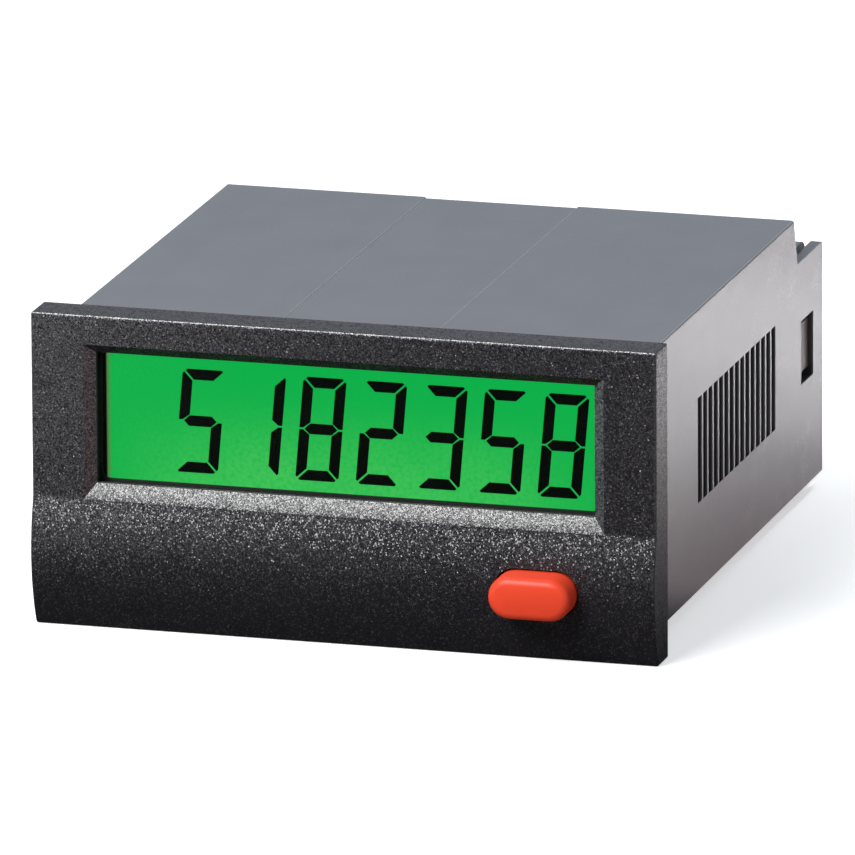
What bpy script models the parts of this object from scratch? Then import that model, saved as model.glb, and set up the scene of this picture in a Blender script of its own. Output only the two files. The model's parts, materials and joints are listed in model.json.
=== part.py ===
"""Panel counter with a backlit liquid crystal display and a front reset button.

All sizes are in metres. +X is to the right seen from the front, +Y runs from the front to the
rear and +Z is up. Places are counted from the middle of the width (x = 0), the bezel's flat
front plane (y = 0) and the bezel's underside (z = 0). Every piece hangs from one empty, which
brings the middle of the counter's whole depth to y = 0.
"""

import math

import bmesh
import bpy
from mathutils import Euler, Matrix, Vector

# Housing shell and the flange of the bezel around it
HOUSING_WIDTH = 0.0448
HOUSING_HEIGHT = 0.0218
HOUSING_WALL = 0.0009
HOUSING_TOP_LENGTH = 0.0419
HOUSING_EDGE_RADIUS = 0.0002
SMALL_CHAMFER = 0.0003
EAR_LENGTH = 0.0084
EAR_DROP = 0.0037
NOTCH_SLANT = 0.0011
TOP_RECESS_LEFT = 0.0066
TOP_RECESS_RIGHT = 0.0055
TOP_RECESS_DEPTH = 0.00012
FLANGE_SIDE_LIP = 0.0016
FLANGE_TOP_LIP = 0.0011
FLANGE_THICKNESS = 0.0033
FLANGE_EDGE_ROUND = 0.00018
FLANGE_REBATE = 0.0004
REBATE_GAP = 0.00005
HOUSING_LIP_STEP = 0.0004

# Ratchet rack on both sides of the housing, which a mounting frame's pawls catch
RACK_TEETH = 15
RACK_PITCH = 0.00151
RACK_LAND = 0.00036
RACK_DEPTH = 0.0005
RACK_HEIGHT = 0.0081
RACK_START = 0.0142

# Windows in the ears, where the terminal block's hooks snap in
LATCH_WINDOW_LENGTH = 0.0036
LATCH_WINDOW_HEIGHT = 0.0050
LATCH_WINDOW_FROM_REAR = 0.0027
LATCH_FACE_DEPTH = 0.00042
LATCH_HOOK_DROP = 0.0006
LATCH_RAMP = 0.0013

# Front face of the bezel
FRONT_WALL = 0.0010
LOWER_PANEL_HEIGHT = 0.00995
PANEL_RADIUS = 0.0136
PANEL_CREST_HEIGHT = 0.0056
PANEL_BULGE = 0.00068
PANEL_ARC_STEPS = 18
WINDOW_TOP_FRAME = 0.0029
WINDOW_BEVEL_DEPTH = 0.0006
WINDOW_BEVEL_TOP = 0.00067
WINDOW_BEVEL_BOTTOM = 0.00115
WINDOW_BEVEL_SIDE = 0.00085
TONGUE_GAP = 0.0002
TONGUE_THICKNESS = 0.0008
TONGUE_HEIGHT = 0.0080
TONGUE_LENGTH = 0.0052
TONGUE_HOOK = 0.00045
TONGUE_HOOK_LENGTH = 0.0012
LEDGE_THICKNESS = 0.0006

# Reset button and the switch behind it
BUTTON_WIDTH = 0.0063
BUTTON_HEIGHT = 0.00325
BUTTON_FROM_SIDE = 0.00907
BUTTON_BELOW_PANEL_TOP = 0.00462
BUTTON_PROUD = 0.00222
BUTTON_CHAMFER = 0.00060
BUTTON_GAP = 0.00015
BUTTON_COLLAR = 0.0005
BUTTON_COLLAR_THICKNESS = 0.0008
BUTTON_STEM_WIDTH = 0.0022
BUTTON_TRAVEL = 0.0005
SWITCH_SIDE = 0.0045
SWITCH_DEPTH = 0.0026
SWITCH_LID = 0.0005
SWITCH_CHAMBER = 0.0017
PLUNGER_RADIUS = 0.0010
PLUNGER_COLLAR_RADIUS = 0.0014
PLUNGER_COLLAR_LENGTH = 0.0005

# Display stack, from the front to the rear
PANE_THICKNESS = 0.0009
PANE_OVERLAP = 0.0006
MASK_THICKNESS = 0.0001
MASK_CORNER_RADIUS = 0.0006
LCD_GLASS_THICKNESS = 0.0010
LCD_CONTACT_LEDGE = 0.0019
LCD_SIDE_OVERLAP = 0.0004
LCD_TOP_GAP = 0.0003
HOLDER_GAP = 0.0002
HOLDER_WALL = 0.0006
HOLDER_GLASS_GAP = 0.00015
HOLDER_FOOT = 0.0024
HOLDER_PEG_RADIUS = 0.0007
LIGHT_GUIDE_THICKNESS = 0.0026
LED_LENGTH = 0.0014
LED_HEIGHT = 0.0024
CONTACT_STRIP_THICKNESS = 0.0012
STACK_GAP = 0.0001
FIT_GAP = 0.0003

# Digits of the display: eight places, the first one blank
DISPLAY_TEXT = " 5182358"
DIGIT_SIDE_MARGIN = 0.00085
DIGIT_TOP_MARGIN = 0.00127
DIGIT_BOTTOM_MARGIN = 0.00080
DIGIT_WIDTH = 0.00333
DIGIT_STROKE = 0.00081
DIGIT_SPLIT = 0.00014
DIGIT_CORNER = 0.00024
DIGIT_WAIST_END = 0.0003
DIGIT_RELIEF = 0.00006
DIGIT_SLANT = math.radians(5.1)

# Circuit boards and what stands on them
BOARD_THICKNESS = 0.0010
BOARD_EDGE_GAP = 0.0006
MAIN_BOARD_HEIGHT = 0.0011
RAIL_REACH = 0.0017
RAIL_THICKNESS = 0.0008
PIN_COUNT = 10
PIN_PITCH = 0.0020
PIN_SIDE = 0.0005
PIN_HOLE_RADIUS = 0.00055
PIN_OVERHANG = 0.0004
LINK_HEIGHT = 0.0026
LINK_DEPTH = 0.0014
BATTERY_DIAMETER = 0.0145
BATTERY_LENGTH = 0.0250
BATTERY_FROM_BOARD_FRONT = 0.0118
BATTERY_NUB_RADIUS = 0.0030
BATTERY_EDGE = 0.0006
BATTERY_TAB_THICKNESS = 0.0003
BATTERY_TAB_WIDTH = 0.0040
CHIP_SIDE = 0.0090
CHIP_THICKNESS = 0.0015
CHIP_LEGS = 9
CHIP_LEG_PITCH = 0.0009
CHIP_LEG_WIDTH = 0.00045
CHIP_LEG_LENGTH = 0.0009
CHIP_LEG_THICKNESS = 0.0005
PART_SPACING = 0.0005
CAPACITOR_RADIUS = 0.0020
CAPACITOR_LENGTH = 0.0075
CRYSTAL_LENGTH = 0.0100
CRYSTAL_WIDTH = 0.0044
CRYSTAL_HEIGHT = 0.0034
CRYSTAL_CORNER_RADIUS = 0.0018

# Terminal block: a row of poles, each with a lift cage, a contact and a screw reached from above
TERMINALS = 8
BLOCK_RECESS = 0.0009
BLOCK_SIDE_GAP = 0.0002
BLOCK_WALL_THICKNESS = 0.0012
BLOCK_WALL_INSET = 0.0013
BLOCK_ABOVE_EARS = 0.0004
BLOCK_CORNER_RADIUS = 0.0012
BLOCK_END_WALL = 0.0013
BLOCK_REAR_WALL = 0.0013
BLOCK_FLOOR = 0.0014
CHAMBER_WALL = 0.0010
CHAMBER_HEIGHT = 0.0104
CAGE_GAP = 0.00015
CAGE_WALL = 0.0007
CAGE_LENGTH = 0.0036
CAGE_BASE = 0.0008
CAGE_HEAD = 0.0016
WIRE_SPACE = 0.0034
WIRE_FUNNEL_DEPTH = 0.0008
CONTACT_THICKNESS = 0.0008
CONTACT_PIN_WIDTH = 0.0010
CONTACT_SIDE_GAP = 0.00015
SCREW_HEAD_THICKNESS = 0.0016
SCREW_CHAMFER = 0.0003
SCREW_SHANK_RADIUS = 0.00115
SCREW_THREAD_GAP = 0.0001
SCREW_RISE = 0.0030
SCREW_SLOT_WIDTH = 0.0007
SCREW_SLOT_DEPTH = 0.0009

# Drawing values
OVERCUT = 0.001
ROOT_OVERLAP = 0.0003
WELD_DISTANCE = 0.000001
DRAWING_SCALE = 1000.0
SMOOTH_ANGLE = math.radians(35)
FLAT_ANGLE = math.radians(0.1)
ROUND_SEGMENTS = 32
MEDIUM_ROUND_SEGMENTS = 24
SMALL_ROUND_SEGMENTS = 16
HOLE_SEGMENTS = 8
CORNER_STEPS = 5
RIM_STEPS = 3
FLANGE_ROUND_STEPS = 3
END_STEPS = 12

# Places that follow from the sizes: widths
HALF_HOUSING = HOUSING_WIDTH / 2
HALF_INSIDE = HALF_HOUSING - HOUSING_WALL
HALF_BEZEL = HALF_HOUSING + FLANGE_SIDE_LIP
HALF_BLOCK = HALF_INSIDE - BLOCK_SIDE_GAP
TERMINAL_PITCH = 2 * (HALF_BLOCK - BLOCK_END_WALL) / TERMINALS
HALF_CHAMBER = (TERMINAL_PITCH - CHAMBER_WALL) / 2
HALF_CAGE = HALF_CHAMBER - CAGE_GAP
HALF_CONTACT = HALF_CAGE - CAGE_WALL - CONTACT_SIDE_GAP
TONGUE_OUTER = HALF_INSIDE - TONGUE_GAP
TONGUE_INNER = TONGUE_OUTER - TONGUE_THICKNESS
HOLDER_OUTER = TONGUE_INNER - HOLDER_GAP
HOLDER_INNER = HOLDER_OUTER - HOLDER_WALL
HALF_GLASS = HOLDER_INNER - HOLDER_GLASS_GAP
HALF_WINDOW = HALF_GLASS - LCD_SIDE_OVERLAP
HALF_BOARD = HALF_INSIDE - BOARD_EDGE_GAP
RAIL_INNER = HALF_INSIDE - RAIL_REACH
BATTERY_CENTRE_X = -RAIL_INNER + BATTERY_TAB_THICKNESS + 2 * FIT_GAP + BATTERY_LENGTH / 2
BUTTON_X = HALF_BEZEL - BUTTON_FROM_SIDE

# Places that follow from the sizes: heights
HOUSING_BOTTOM = FLANGE_TOP_LIP
HOUSING_TOP = HOUSING_BOTTOM + HOUSING_HEIGHT
BEZEL_HEIGHT = HOUSING_TOP + FLANGE_TOP_LIP
MID_HEIGHT = BEZEL_HEIGHT / 2
INSIDE_BOTTOM = HOUSING_BOTTOM + HOUSING_WALL
INSIDE_TOP = HOUSING_TOP - HOUSING_WALL
EAR_TOP = HOUSING_TOP - EAR_DROP
WINDOW_TOP = BEZEL_HEIGHT - WINDOW_TOP_FRAME
WINDOW_BOTTOM = LOWER_PANEL_HEIGHT + WINDOW_BEVEL_BOTTOM
GLASS_TOP = INSIDE_TOP - LCD_TOP_GAP
GLASS_BOTTOM = WINDOW_BOTTOM - PANE_OVERLAP - LCD_CONTACT_LEDGE
REAR_GLASS_BOTTOM = GLASS_BOTTOM + LCD_CONTACT_LEDGE
BUTTON_Z = LOWER_PANEL_HEIGHT - BUTTON_BELOW_PANEL_TOP
BOARD_BOTTOM = INSIDE_BOTTOM + MAIN_BOARD_HEIGHT
BOARD_TOP = BOARD_BOTTOM + BOARD_THICKNESS
ON_BOARD = BOARD_TOP + FIT_GAP
BLOCK_BOTTOM = INSIDE_BOTTOM + BLOCK_SIDE_GAP
BLOCK_TOP = EAR_TOP + BLOCK_ABOVE_EARS
CHAMBER_BOTTOM = ON_BOARD + BLOCK_FLOOR
CAGE_BOTTOM = CHAMBER_BOTTOM + FIT_GAP
CONTACT_BOTTOM = CAGE_BOTTOM + CAGE_BASE + WIRE_SPACE
CONTACT_TOP = CONTACT_BOTTOM + CONTACT_THICKNESS
CAGE_HEAD_BOTTOM = CONTACT_TOP + FIT_GAP
CAGE_TOP = CAGE_HEAD_BOTTOM + CAGE_HEAD
SCREW_TIP = CONTACT_TOP + STACK_GAP
SCREW_HEAD_BOTTOM = CAGE_TOP + SCREW_RISE

# Places that follow from the sizes: depths
PANEL_SEAT = FLANGE_THICKNESS
HOUSING_FRONT = PANEL_SEAT - FLANGE_REBATE + STACK_GAP
HOUSING_SHOULDER = PANEL_SEAT + STACK_GAP
HOUSING_TOP_REAR = PANEL_SEAT + HOUSING_TOP_LENGTH
EAR_REAR = HOUSING_TOP_REAR + EAR_LENGTH
PANE_FRONT = FRONT_WALL + STACK_GAP
PANE_REAR = PANE_FRONT + PANE_THICKNESS
MASK_FRONT = PANE_REAR + STACK_GAP
MASK_REAR = MASK_FRONT + MASK_THICKNESS
GLASS_FRONT = MASK_REAR + STACK_GAP + DIGIT_RELIEF
GLASS_REAR = GLASS_FRONT + LCD_GLASS_THICKNESS
REAR_GLASS_FRONT = GLASS_REAR + STACK_GAP
REAR_GLASS_REAR = REAR_GLASS_FRONT + LCD_GLASS_THICKNESS
GUIDE_FRONT = REAR_GLASS_REAR + FIT_GAP
GUIDE_REAR = GUIDE_FRONT + LIGHT_GUIDE_THICKNESS
HOLDER_REAR = GUIDE_REAR + FIT_GAP + HOLDER_WALL
DISPLAY_BOARD_FRONT = HOLDER_REAR + FIT_GAP
DISPLAY_BOARD_REAR = DISPLAY_BOARD_FRONT + BOARD_THICKNESS
MAIN_BOARD_FRONT = DISPLAY_BOARD_REAR + LINK_DEPTH
BLOCK_FRONT = HOUSING_TOP_REAR - BLOCK_WALL_INSET
BLOCK_REAR = EAR_REAR - BLOCK_RECESS
MAIN_BOARD_REAR = BLOCK_REAR - BLOCK_REAR_WALL - FIT_GAP
CAGE_REAR = BLOCK_REAR - BLOCK_REAR_WALL - CAGE_GAP
CAGE_FRONT = CAGE_REAR - CAGE_LENGTH
CAGE_MIDDLE = (CAGE_FRONT + CAGE_REAR) / 2
CONTACT_REAR = CAGE_REAR - CAGE_WALL
CONTACT_FRONT = CAGE_FRONT - CONTACT_SIDE_GAP - CONTACT_THICKNESS
CHAMBER_FRONT = CONTACT_FRONT - CAGE_GAP
BUTTON_FRONT = -PANEL_BULGE - BUTTON_PROUD
COLLAR_FRONT = FRONT_WALL + FIT_GAP
COLLAR_REAR = COLLAR_FRONT + BUTTON_COLLAR_THICKNESS
SWITCH_REAR = DISPLAY_BOARD_FRONT - STACK_GAP
SWITCH_FRONT = SWITCH_REAR - SWITCH_DEPTH
PLUNGER_FRONT = SWITCH_FRONT - BUTTON_TRAVEL - PLUNGER_RADIUS
STEM_REAR = PLUNGER_FRONT - STACK_GAP
ORIGIN_Y = (BUTTON_FRONT + EAR_REAR) / 2

# Segments a to g of a seven-segment digit that each character lights
LIT_SEGMENTS = {
    " ": "",
    "1": "bc",
    "2": "abdeg",
    "3": "abcdg",
    "5": "acdfg",
    "8": "abcdefg",
}

PARTS = None
CUTTERS = None
ORIGIN = None


def clear_scene():
    """Remove whatever the file holds, one object at a time."""
    for old in list(bpy.data.objects):
        bpy.data.objects.remove(old, do_unlink=True)


def new_collection(name):
    """A fresh collection under the scene."""
    group = bpy.data.collections.new(name)
    bpy.context.scene.collection.children.link(group)
    return group


def new_empty(name, place, parent=None):
    """An empty that carries pieces."""
    holder = bpy.data.objects.new(name, None)
    holder.location = place
    holder.parent = parent
    PARTS.objects.link(holder)
    return holder


def plastic(name, colour, roughness, metallic=0.0, alpha=1.0):
    """A Principled material."""
    material = bpy.data.materials.new(name)
    material.use_nodes = True
    shader = material.node_tree.nodes["Principled BSDF"]
    shader.inputs["Base Color"].default_value = (*colour, 1.0)
    shader.inputs["Roughness"].default_value = roughness
    shader.inputs["Metallic"].default_value = metallic
    shader.inputs["Alpha"].default_value = alpha
    material.diffuse_color = (*colour, alpha)
    return material


def add_piece(solid, material, parent=None):
    """Put a finished piece in the counter's collection, hanging from its carrier."""
    carrier = parent or ORIGIN
    carrier_place = carrier.location if carrier is not ORIGIN else Vector()
    solid.location = solid.location - carrier_place
    solid.parent = carrier
    solid.data.materials.clear()
    solid.data.materials.append(material)
    solid.data.shade_smooth()
    solid.data.set_sharp_from_angle(angle=SMOOTH_ANGLE)
    PARTS.objects.link(solid)
    return solid


def use_tool(target, tool, operation):
    """Cut the tool from the target, or join it on."""
    tool.parent = ORIGIN
    tool.hide_render = True
    tool.display_type = "WIRE"
    CUTTERS.objects.link(tool)
    step = target.modifiers.new(tool.name, "BOOLEAN")
    step.operation = operation
    step.solver = "EXACT"
    step.object = tool


def cut(target, tool):
    """Take the tool's shape out of the target."""
    use_tool(target, tool, "DIFFERENCE")


def join(target, tool):
    """Make the tool's shape part of the target."""
    use_tool(target, tool, "UNION")


def block_mesh(name, spans):
    """A mesh of one or more boxes, each given by its low and high corner."""
    body = bmesh.new()
    for low, high in spans:
        size = Vector(high) - Vector(low)
        middle = (Vector(low) + Vector(high)) / 2
        place = Matrix.Translation(middle) @ Matrix.Diagonal((*size, 1.0))
        bmesh.ops.create_cube(body, size=1.0, matrix=place)
    mesh = bpy.data.meshes.new(name)
    body.to_mesh(mesh)
    body.free()
    return mesh


def box(name, low, high):
    """A box between two corners, with its origin in its middle."""
    middle = (Vector(low) + Vector(high)) / 2
    half = (Vector(high) - Vector(low)) / 2
    solid = bpy.data.objects.new(name, block_mesh(name, [(-half, half)]))
    solid.location = middle
    return solid


def boxes(name, spans):
    """Several boxes that stay separate until they are cut or joined."""
    return bpy.data.objects.new(name, block_mesh(name, spans))


def rod(name, radius, start, end, segments=SMALL_ROUND_SEGMENTS):
    """A round bar from one point to another."""
    span = Vector(end) - Vector(start)
    body = bmesh.new()
    bmesh.ops.create_cone(
        body, cap_ends=True, segments=segments, radius1=radius, radius2=radius, depth=span.length
    )
    turn = span.to_track_quat("Z", "Y").to_matrix().to_4x4()
    bmesh.ops.transform(body, matrix=turn, verts=body.verts)
    mesh = bpy.data.meshes.new(name)
    body.to_mesh(mesh)
    body.free()
    solid = bpy.data.objects.new(name, mesh)
    solid.location = (Vector(start) + Vector(end)) / 2
    return solid


def outline_solid(name, loops, low, high, plane):
    """A flat outline with straight walls between two depths.

    Each loop is a closed list of (u, v) points, and a loop inside another is a hole. In plane
    "XZ" u is x and v is z, in "YZ" they are y and z, and in "XY" they are x and y.
    """
    turns = {
        "XZ": Euler((math.pi / 2, 0, 0)),
        "YZ": Matrix(((0, 0, 1), (1, 0, 0), (0, 1, 0))).to_euler(),
        "XY": Euler((0, 0, 0)),
    }
    middle = (low + high) / 2
    places = {"XZ": (0, middle, 0), "YZ": (middle, 0, 0), "XY": (0, 0, middle)}
    curve = bpy.data.curves.new(name, "CURVE")
    curve.dimensions = "2D"
    curve.fill_mode = "BOTH"
    curve.extrude = (high - low) / 2 * DRAWING_SCALE
    for loop in loops:
        spline = curve.splines.new("POLY")
        spline.points.add(len(loop) - 1)
        for point, (u, v) in zip(spline.points, loop):
            point.co = (u * DRAWING_SCALE, v * DRAWING_SCALE, 0.0, 1.0)
        spline.use_cyclic_u = True
    drawing = bpy.data.objects.new(name + "_outline", curve)
    drawing.rotation_euler = turns[plane]
    drawing.location = places[plane]
    bpy.context.scene.collection.objects.link(drawing)
    bpy.context.view_layer.update()
    graph = bpy.context.evaluated_depsgraph_get()
    mesh = bpy.data.meshes.new_from_object(drawing.evaluated_get(graph))
    mesh.transform(Matrix.Scale(1 / DRAWING_SCALE, 4))
    body = bmesh.new()
    body.from_mesh(mesh)
    bmesh.ops.remove_doubles(body, verts=body.verts, dist=WELD_DISTANCE)
    bmesh.ops.dissolve_limit(body, angle_limit=FLAT_ANGLE, verts=body.verts, edges=body.edges)
    bmesh.ops.recalc_face_normals(body, faces=body.faces)
    body.to_mesh(mesh)
    body.free()
    solid = bpy.data.objects.new(name, mesh)
    solid.matrix_world = drawing.matrix_world.copy()
    bpy.data.objects.remove(drawing)
    return solid


def turned(name, profile, centre, facing, segments=ROUND_SEGMENTS):
    """A turned piece from a profile of (radius, height) points, top to bottom, set on an axis."""
    mesh = bpy.data.meshes.new(name)
    points = [(radius, 0.0, height) for radius, height in profile]
    mesh.from_pydata(points, [(i, i + 1) for i in range(len(points) - 1)], [])
    solid = bpy.data.objects.new(name, mesh)
    sweep = solid.modifiers.new("turn", "SCREW")
    sweep.steps = segments
    sweep.render_steps = segments
    sweep.use_merge_vertices = True
    sweep.merge_threshold = WELD_DISTANCE
    solid.rotation_euler = Vector(facing).to_track_quat("Z", "Y").to_euler()
    solid.location = centre
    return solid


def round_edges(solid, picks, width, segments):
    """Round or chamfer the edges whose two ends both pass the test."""
    mesh = solid.data
    weights = mesh.attributes.new("bevel_weight_edge", "FLOAT", "EDGE")
    for edge, weight in zip(mesh.edges, weights.data):
        ends = [mesh.vertices[i].co for i in edge.vertices]
        weight.value = 1.0 if picks(*ends) else 0.0
    step = solid.modifiers.new("rounding", "BEVEL")
    step.limit_method = "WEIGHT"
    step.width = width
    step.segments = segments
    step.profile = 0.5


def arc(centre, radius, start, end, steps):
    """Points along an arc in the drawing plane, angles in radians."""
    turn = (end - start) / steps
    return [
        (centre[0] + radius * math.cos(start + turn * i), centre[1] + radius * math.sin(start + turn * i))
        for i in range(steps + 1)
    ]


def rectangle(left, right, low, high):
    """The four corners of an upright rectangle."""
    return [(left, low), (right, low), (right, high), (left, high)]


def chamfered_rectangle(left, right, low, high, chamfer):
    """A rectangle with its four corners cut at 45 degrees."""
    return [
        (left + chamfer, low), (right - chamfer, low), (right, low + chamfer), (right, high - chamfer),
        (right - chamfer, high), (left + chamfer, high), (left, high - chamfer), (left, low + chamfer),
    ]


def rounded_rectangle(left, right, low, high, radius):
    """A rectangle with round corners."""
    corners = [
        ((right - radius, low + radius), -math.pi / 2), ((right - radius, high - radius), 0.0),
        ((left + radius, high - radius), math.pi / 2), ((left + radius, low + radius), math.pi),
    ]
    loop = []
    for centre, start in corners:
        loop += arc(centre, radius, start, start + math.pi / 2, CORNER_STEPS)
    return loop


def circle(centre, radius, segments=SMALL_ROUND_SEGMENTS):
    """A closed round loop."""
    return arc(centre, radius, 0.0, 2 * math.pi * (segments - 1) / segments, segments - 1)


def obround(centre, width, height, steps=END_STEPS):
    """A slot shape with round ends, wider than it is high."""
    radius = height / 2
    reach = width / 2 - radius
    right = arc((centre[0] + reach, centre[1]), radius, -math.pi / 2, math.pi / 2, steps)
    left = arc((centre[0] - reach, centre[1]), radius, math.pi / 2, 3 * math.pi / 2, steps)
    return right + left


def mirrored(loop):
    """The same loop on the other side of x = 0."""
    return [(-u, v) for u, v in reversed(loop)]


def panel_depth(height):
    """How far back the curved lower panel lies at a height."""
    rise = height - PANEL_CREST_HEIGHT
    return -PANEL_BULGE + PANEL_RADIUS - math.sqrt(PANEL_RADIUS ** 2 - rise ** 2)


def bezel_side_profile():
    """The bezel's outline seen from its side: flat frame above, convex panel below."""
    heights = [LOWER_PANEL_HEIGHT * i / PANEL_ARC_STEPS for i in range(PANEL_ARC_STEPS)]
    front = [(panel_depth(height), height) for height in heights]
    frame = [(PANEL_SEAT, 0.0), (PANEL_SEAT, BEZEL_HEIGHT), (0.0, BEZEL_HEIGHT), (0.0, LOWER_PANEL_HEIGHT)]
    return frame + front[::-1]


def window_bevel_cutter():
    """The sloped reveal around the window, wider at the front and narrowest at the pane."""
    steep = 1 + OVERCUT / WINDOW_BEVEL_DEPTH
    body = bmesh.new()
    bmesh.ops.create_cube(body, size=1.0)
    for corner in body.verts:
        at_front = corner.co.y < 0
        spread = steep if at_front else 0.0
        side = 1 if corner.co.x > 0 else -1
        top = WINDOW_TOP + WINDOW_BEVEL_TOP * spread
        bottom = WINDOW_BOTTOM - WINDOW_BEVEL_BOTTOM * spread
        corner.co.x = side * (HALF_WINDOW + WINDOW_BEVEL_SIDE * spread)
        corner.co.z = top if corner.co.z > 0 else bottom
        corner.co.y = -OVERCUT if at_front else WINDOW_BEVEL_DEPTH
    mesh = bpy.data.meshes.new("window_bevel")
    body.to_mesh(mesh)
    body.free()
    return bpy.data.objects.new("window_bevel", mesh)


def build_front_bezel(material):
    """The moulded front: flange, window, curved lower panel, snap tongues and button sleeve."""
    bezel = outline_solid("front_bezel", [bezel_side_profile()], -HALF_BEZEL, HALF_BEZEL, "YZ")
    edge = FLANGE_EDGE_ROUND / 2

    def on_outer_edge(first, second):
        # In the outline's own axes u is depth, v is height and w is width
        ends = (first, second)
        at_side = all(abs(abs(end.z) - HALF_BEZEL) < edge for end in ends)
        at_top = all(abs(end.y - BEZEL_HEIGHT) < edge for end in ends)
        across = abs(first.z - second.z) > HALF_BEZEL
        return at_side or (at_top and across)

    round_edges(bezel, on_outer_edge, FLANGE_EDGE_ROUND, FLANGE_ROUND_STEPS)
    pocket = box(
        "pocket", (-HALF_INSIDE, FRONT_WALL, INSIDE_BOTTOM), (HALF_INSIDE, PANEL_SEAT + OVERCUT, INSIDE_TOP)
    )
    cut(bezel, pocket)
    reach = HALF_HOUSING + REBATE_GAP
    cut(bezel, box(
        "housing_rebate", (-reach, PANEL_SEAT - FLANGE_REBATE, HOUSING_BOTTOM - REBATE_GAP),
        (reach, PANEL_SEAT + OVERCUT, HOUSING_TOP + REBATE_GAP),
    ))
    cut(bezel, window_bevel_cutter())
    cut(bezel, box(
        "window_hole", (-HALF_WINDOW, WINDOW_BEVEL_DEPTH / 2, WINDOW_BOTTOM),
        (HALF_WINDOW, FRONT_WALL + OVERCUT, WINDOW_TOP),
    ))
    hole = [obround((BUTTON_X, BUTTON_Z), BUTTON_WIDTH + 2 * BUTTON_GAP, BUTTON_HEIGHT + 2 * BUTTON_GAP)]
    cut(bezel, outline_solid("button_hole", hole, -PANEL_BULGE - OVERCUT, FRONT_WALL + OVERCUT, "XZ"))

    tongue_front = FRONT_WALL - ROOT_OVERLAP
    tongue_rear = HOUSING_FRONT + TONGUE_LENGTH
    hook_front = tongue_rear - TONGUE_HOOK_LENGTH
    low = MID_HEIGHT - TONGUE_HEIGHT / 2
    high = MID_HEIGHT + TONGUE_HEIGHT / 2
    tongue = [
        (TONGUE_INNER, tongue_front), (TONGUE_OUTER, tongue_front), (TONGUE_OUTER, hook_front),
        (TONGUE_OUTER + TONGUE_HOOK, hook_front), (TONGUE_OUTER, tongue_rear), (TONGUE_INNER, tongue_rear),
    ]
    join(bezel, outline_solid("tongues", [tongue, mirrored(tongue)], low, high, "XY"))
    ledge_top = GLASS_BOTTOM - FIT_GAP
    join(bezel, box(
        "glass_ledge", (-HALF_WINDOW, tongue_front, ledge_top - LEDGE_THICKNESS),
        (HALF_WINDOW, PANE_REAR, ledge_top),
    ))
    return add_piece(bezel, material)


def build_display_window(material):
    """The clear pane that closes the window from behind."""
    low = WINDOW_BOTTOM - PANE_OVERLAP
    high = GLASS_TOP
    half = HALF_WINDOW + LCD_SIDE_OVERLAP
    outline = chamfered_rectangle(-half, half, low, high, SMALL_CHAMFER)
    pane = outline_solid("display_window", [outline], PANE_FRONT, PANE_REAR, "XZ")
    return add_piece(pane, material)


def build_display_mask(material):
    """The thin black frame behind the pane, whose opening has rounded corners."""
    low = WINDOW_BOTTOM - PANE_OVERLAP
    half = HALF_WINDOW + LCD_SIDE_OVERLAP
    outline = rectangle(-half, half, low, GLASS_TOP)
    opening = rounded_rectangle(-HALF_WINDOW, HALF_WINDOW, WINDOW_BOTTOM, WINDOW_TOP, MASK_CORNER_RADIUS)
    mask = outline_solid("display_mask", [outline, opening], MASK_FRONT, MASK_REAR, "XZ")
    return add_piece(mask, material)


def segment_shapes(width, height):
    """The seven segments of one upright digit, with blunt mitred ends and a fine split between them."""
    stroke = DIGIT_STROKE
    corner = DIGIT_CORNER
    middle = height / 2
    shift = DIGIT_SPLIT / math.sqrt(2)
    tip = stroke / 2
    shoulder = 2 * tip
    top_bar = [
        (shift + corner / 2, height - corner / 2), (shift + corner, height),
        (width - shift - corner, height), (width - shift - corner / 2, height - corner / 2),
        (width - stroke - shift, height - stroke), (stroke + shift, height - stroke),
    ]
    waist = middle + DIGIT_SPLIT / 2
    upper_left = [
        (0.0, height - shift - corner), (corner / 2, height - shift - corner / 2),
        (stroke, height - stroke - shift), (stroke, waist + tip),
        (DIGIT_WAIST_END, waist), (0.0, waist),
    ]
    middle_bar = [
        (tip, middle), (shoulder, middle - tip), (width - shoulder, middle - tip), (width - tip, middle),
        (width - shoulder, middle + tip), (shoulder, middle + tip),
    ]

    def flip_x(shape):
        return [(width - u, v) for u, v in reversed(shape)]

    def flip_z(shape):
        return [(u, height - v) for u, v in reversed(shape)]

    return {
        "a": top_bar,
        "b": flip_x(upper_left),
        "c": flip_z(flip_x(upper_left)),
        "d": flip_z(top_bar),
        "e": flip_z(upper_left),
        "f": upper_left,
        "g": middle_bar,
    }


def digit_loops():
    """Outlines of every lit segment of the display, slanted and set in its place."""
    height = WINDOW_TOP - DIGIT_TOP_MARGIN - WINDOW_BOTTOM - DIGIT_BOTTOM_MARGIN
    lean = math.tan(DIGIT_SLANT)
    first_left = -HALF_WINDOW + DIGIT_SIDE_MARGIN
    row_width = 2 * (HALF_WINDOW - DIGIT_SIDE_MARGIN)
    pitch = (row_width - DIGIT_WIDTH - height * lean) / (len(DISPLAY_TEXT) - 1)
    shapes = segment_shapes(DIGIT_WIDTH, height)
    base = WINDOW_BOTTOM + DIGIT_BOTTOM_MARGIN
    loops = []
    for place, character in enumerate(DISPLAY_TEXT):
        left = first_left + place * pitch
        for segment in LIT_SEGMENTS[character]:
            loops.append([(left + u + v * lean, base + v) for u, v in shapes[segment]])
    return loops


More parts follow.
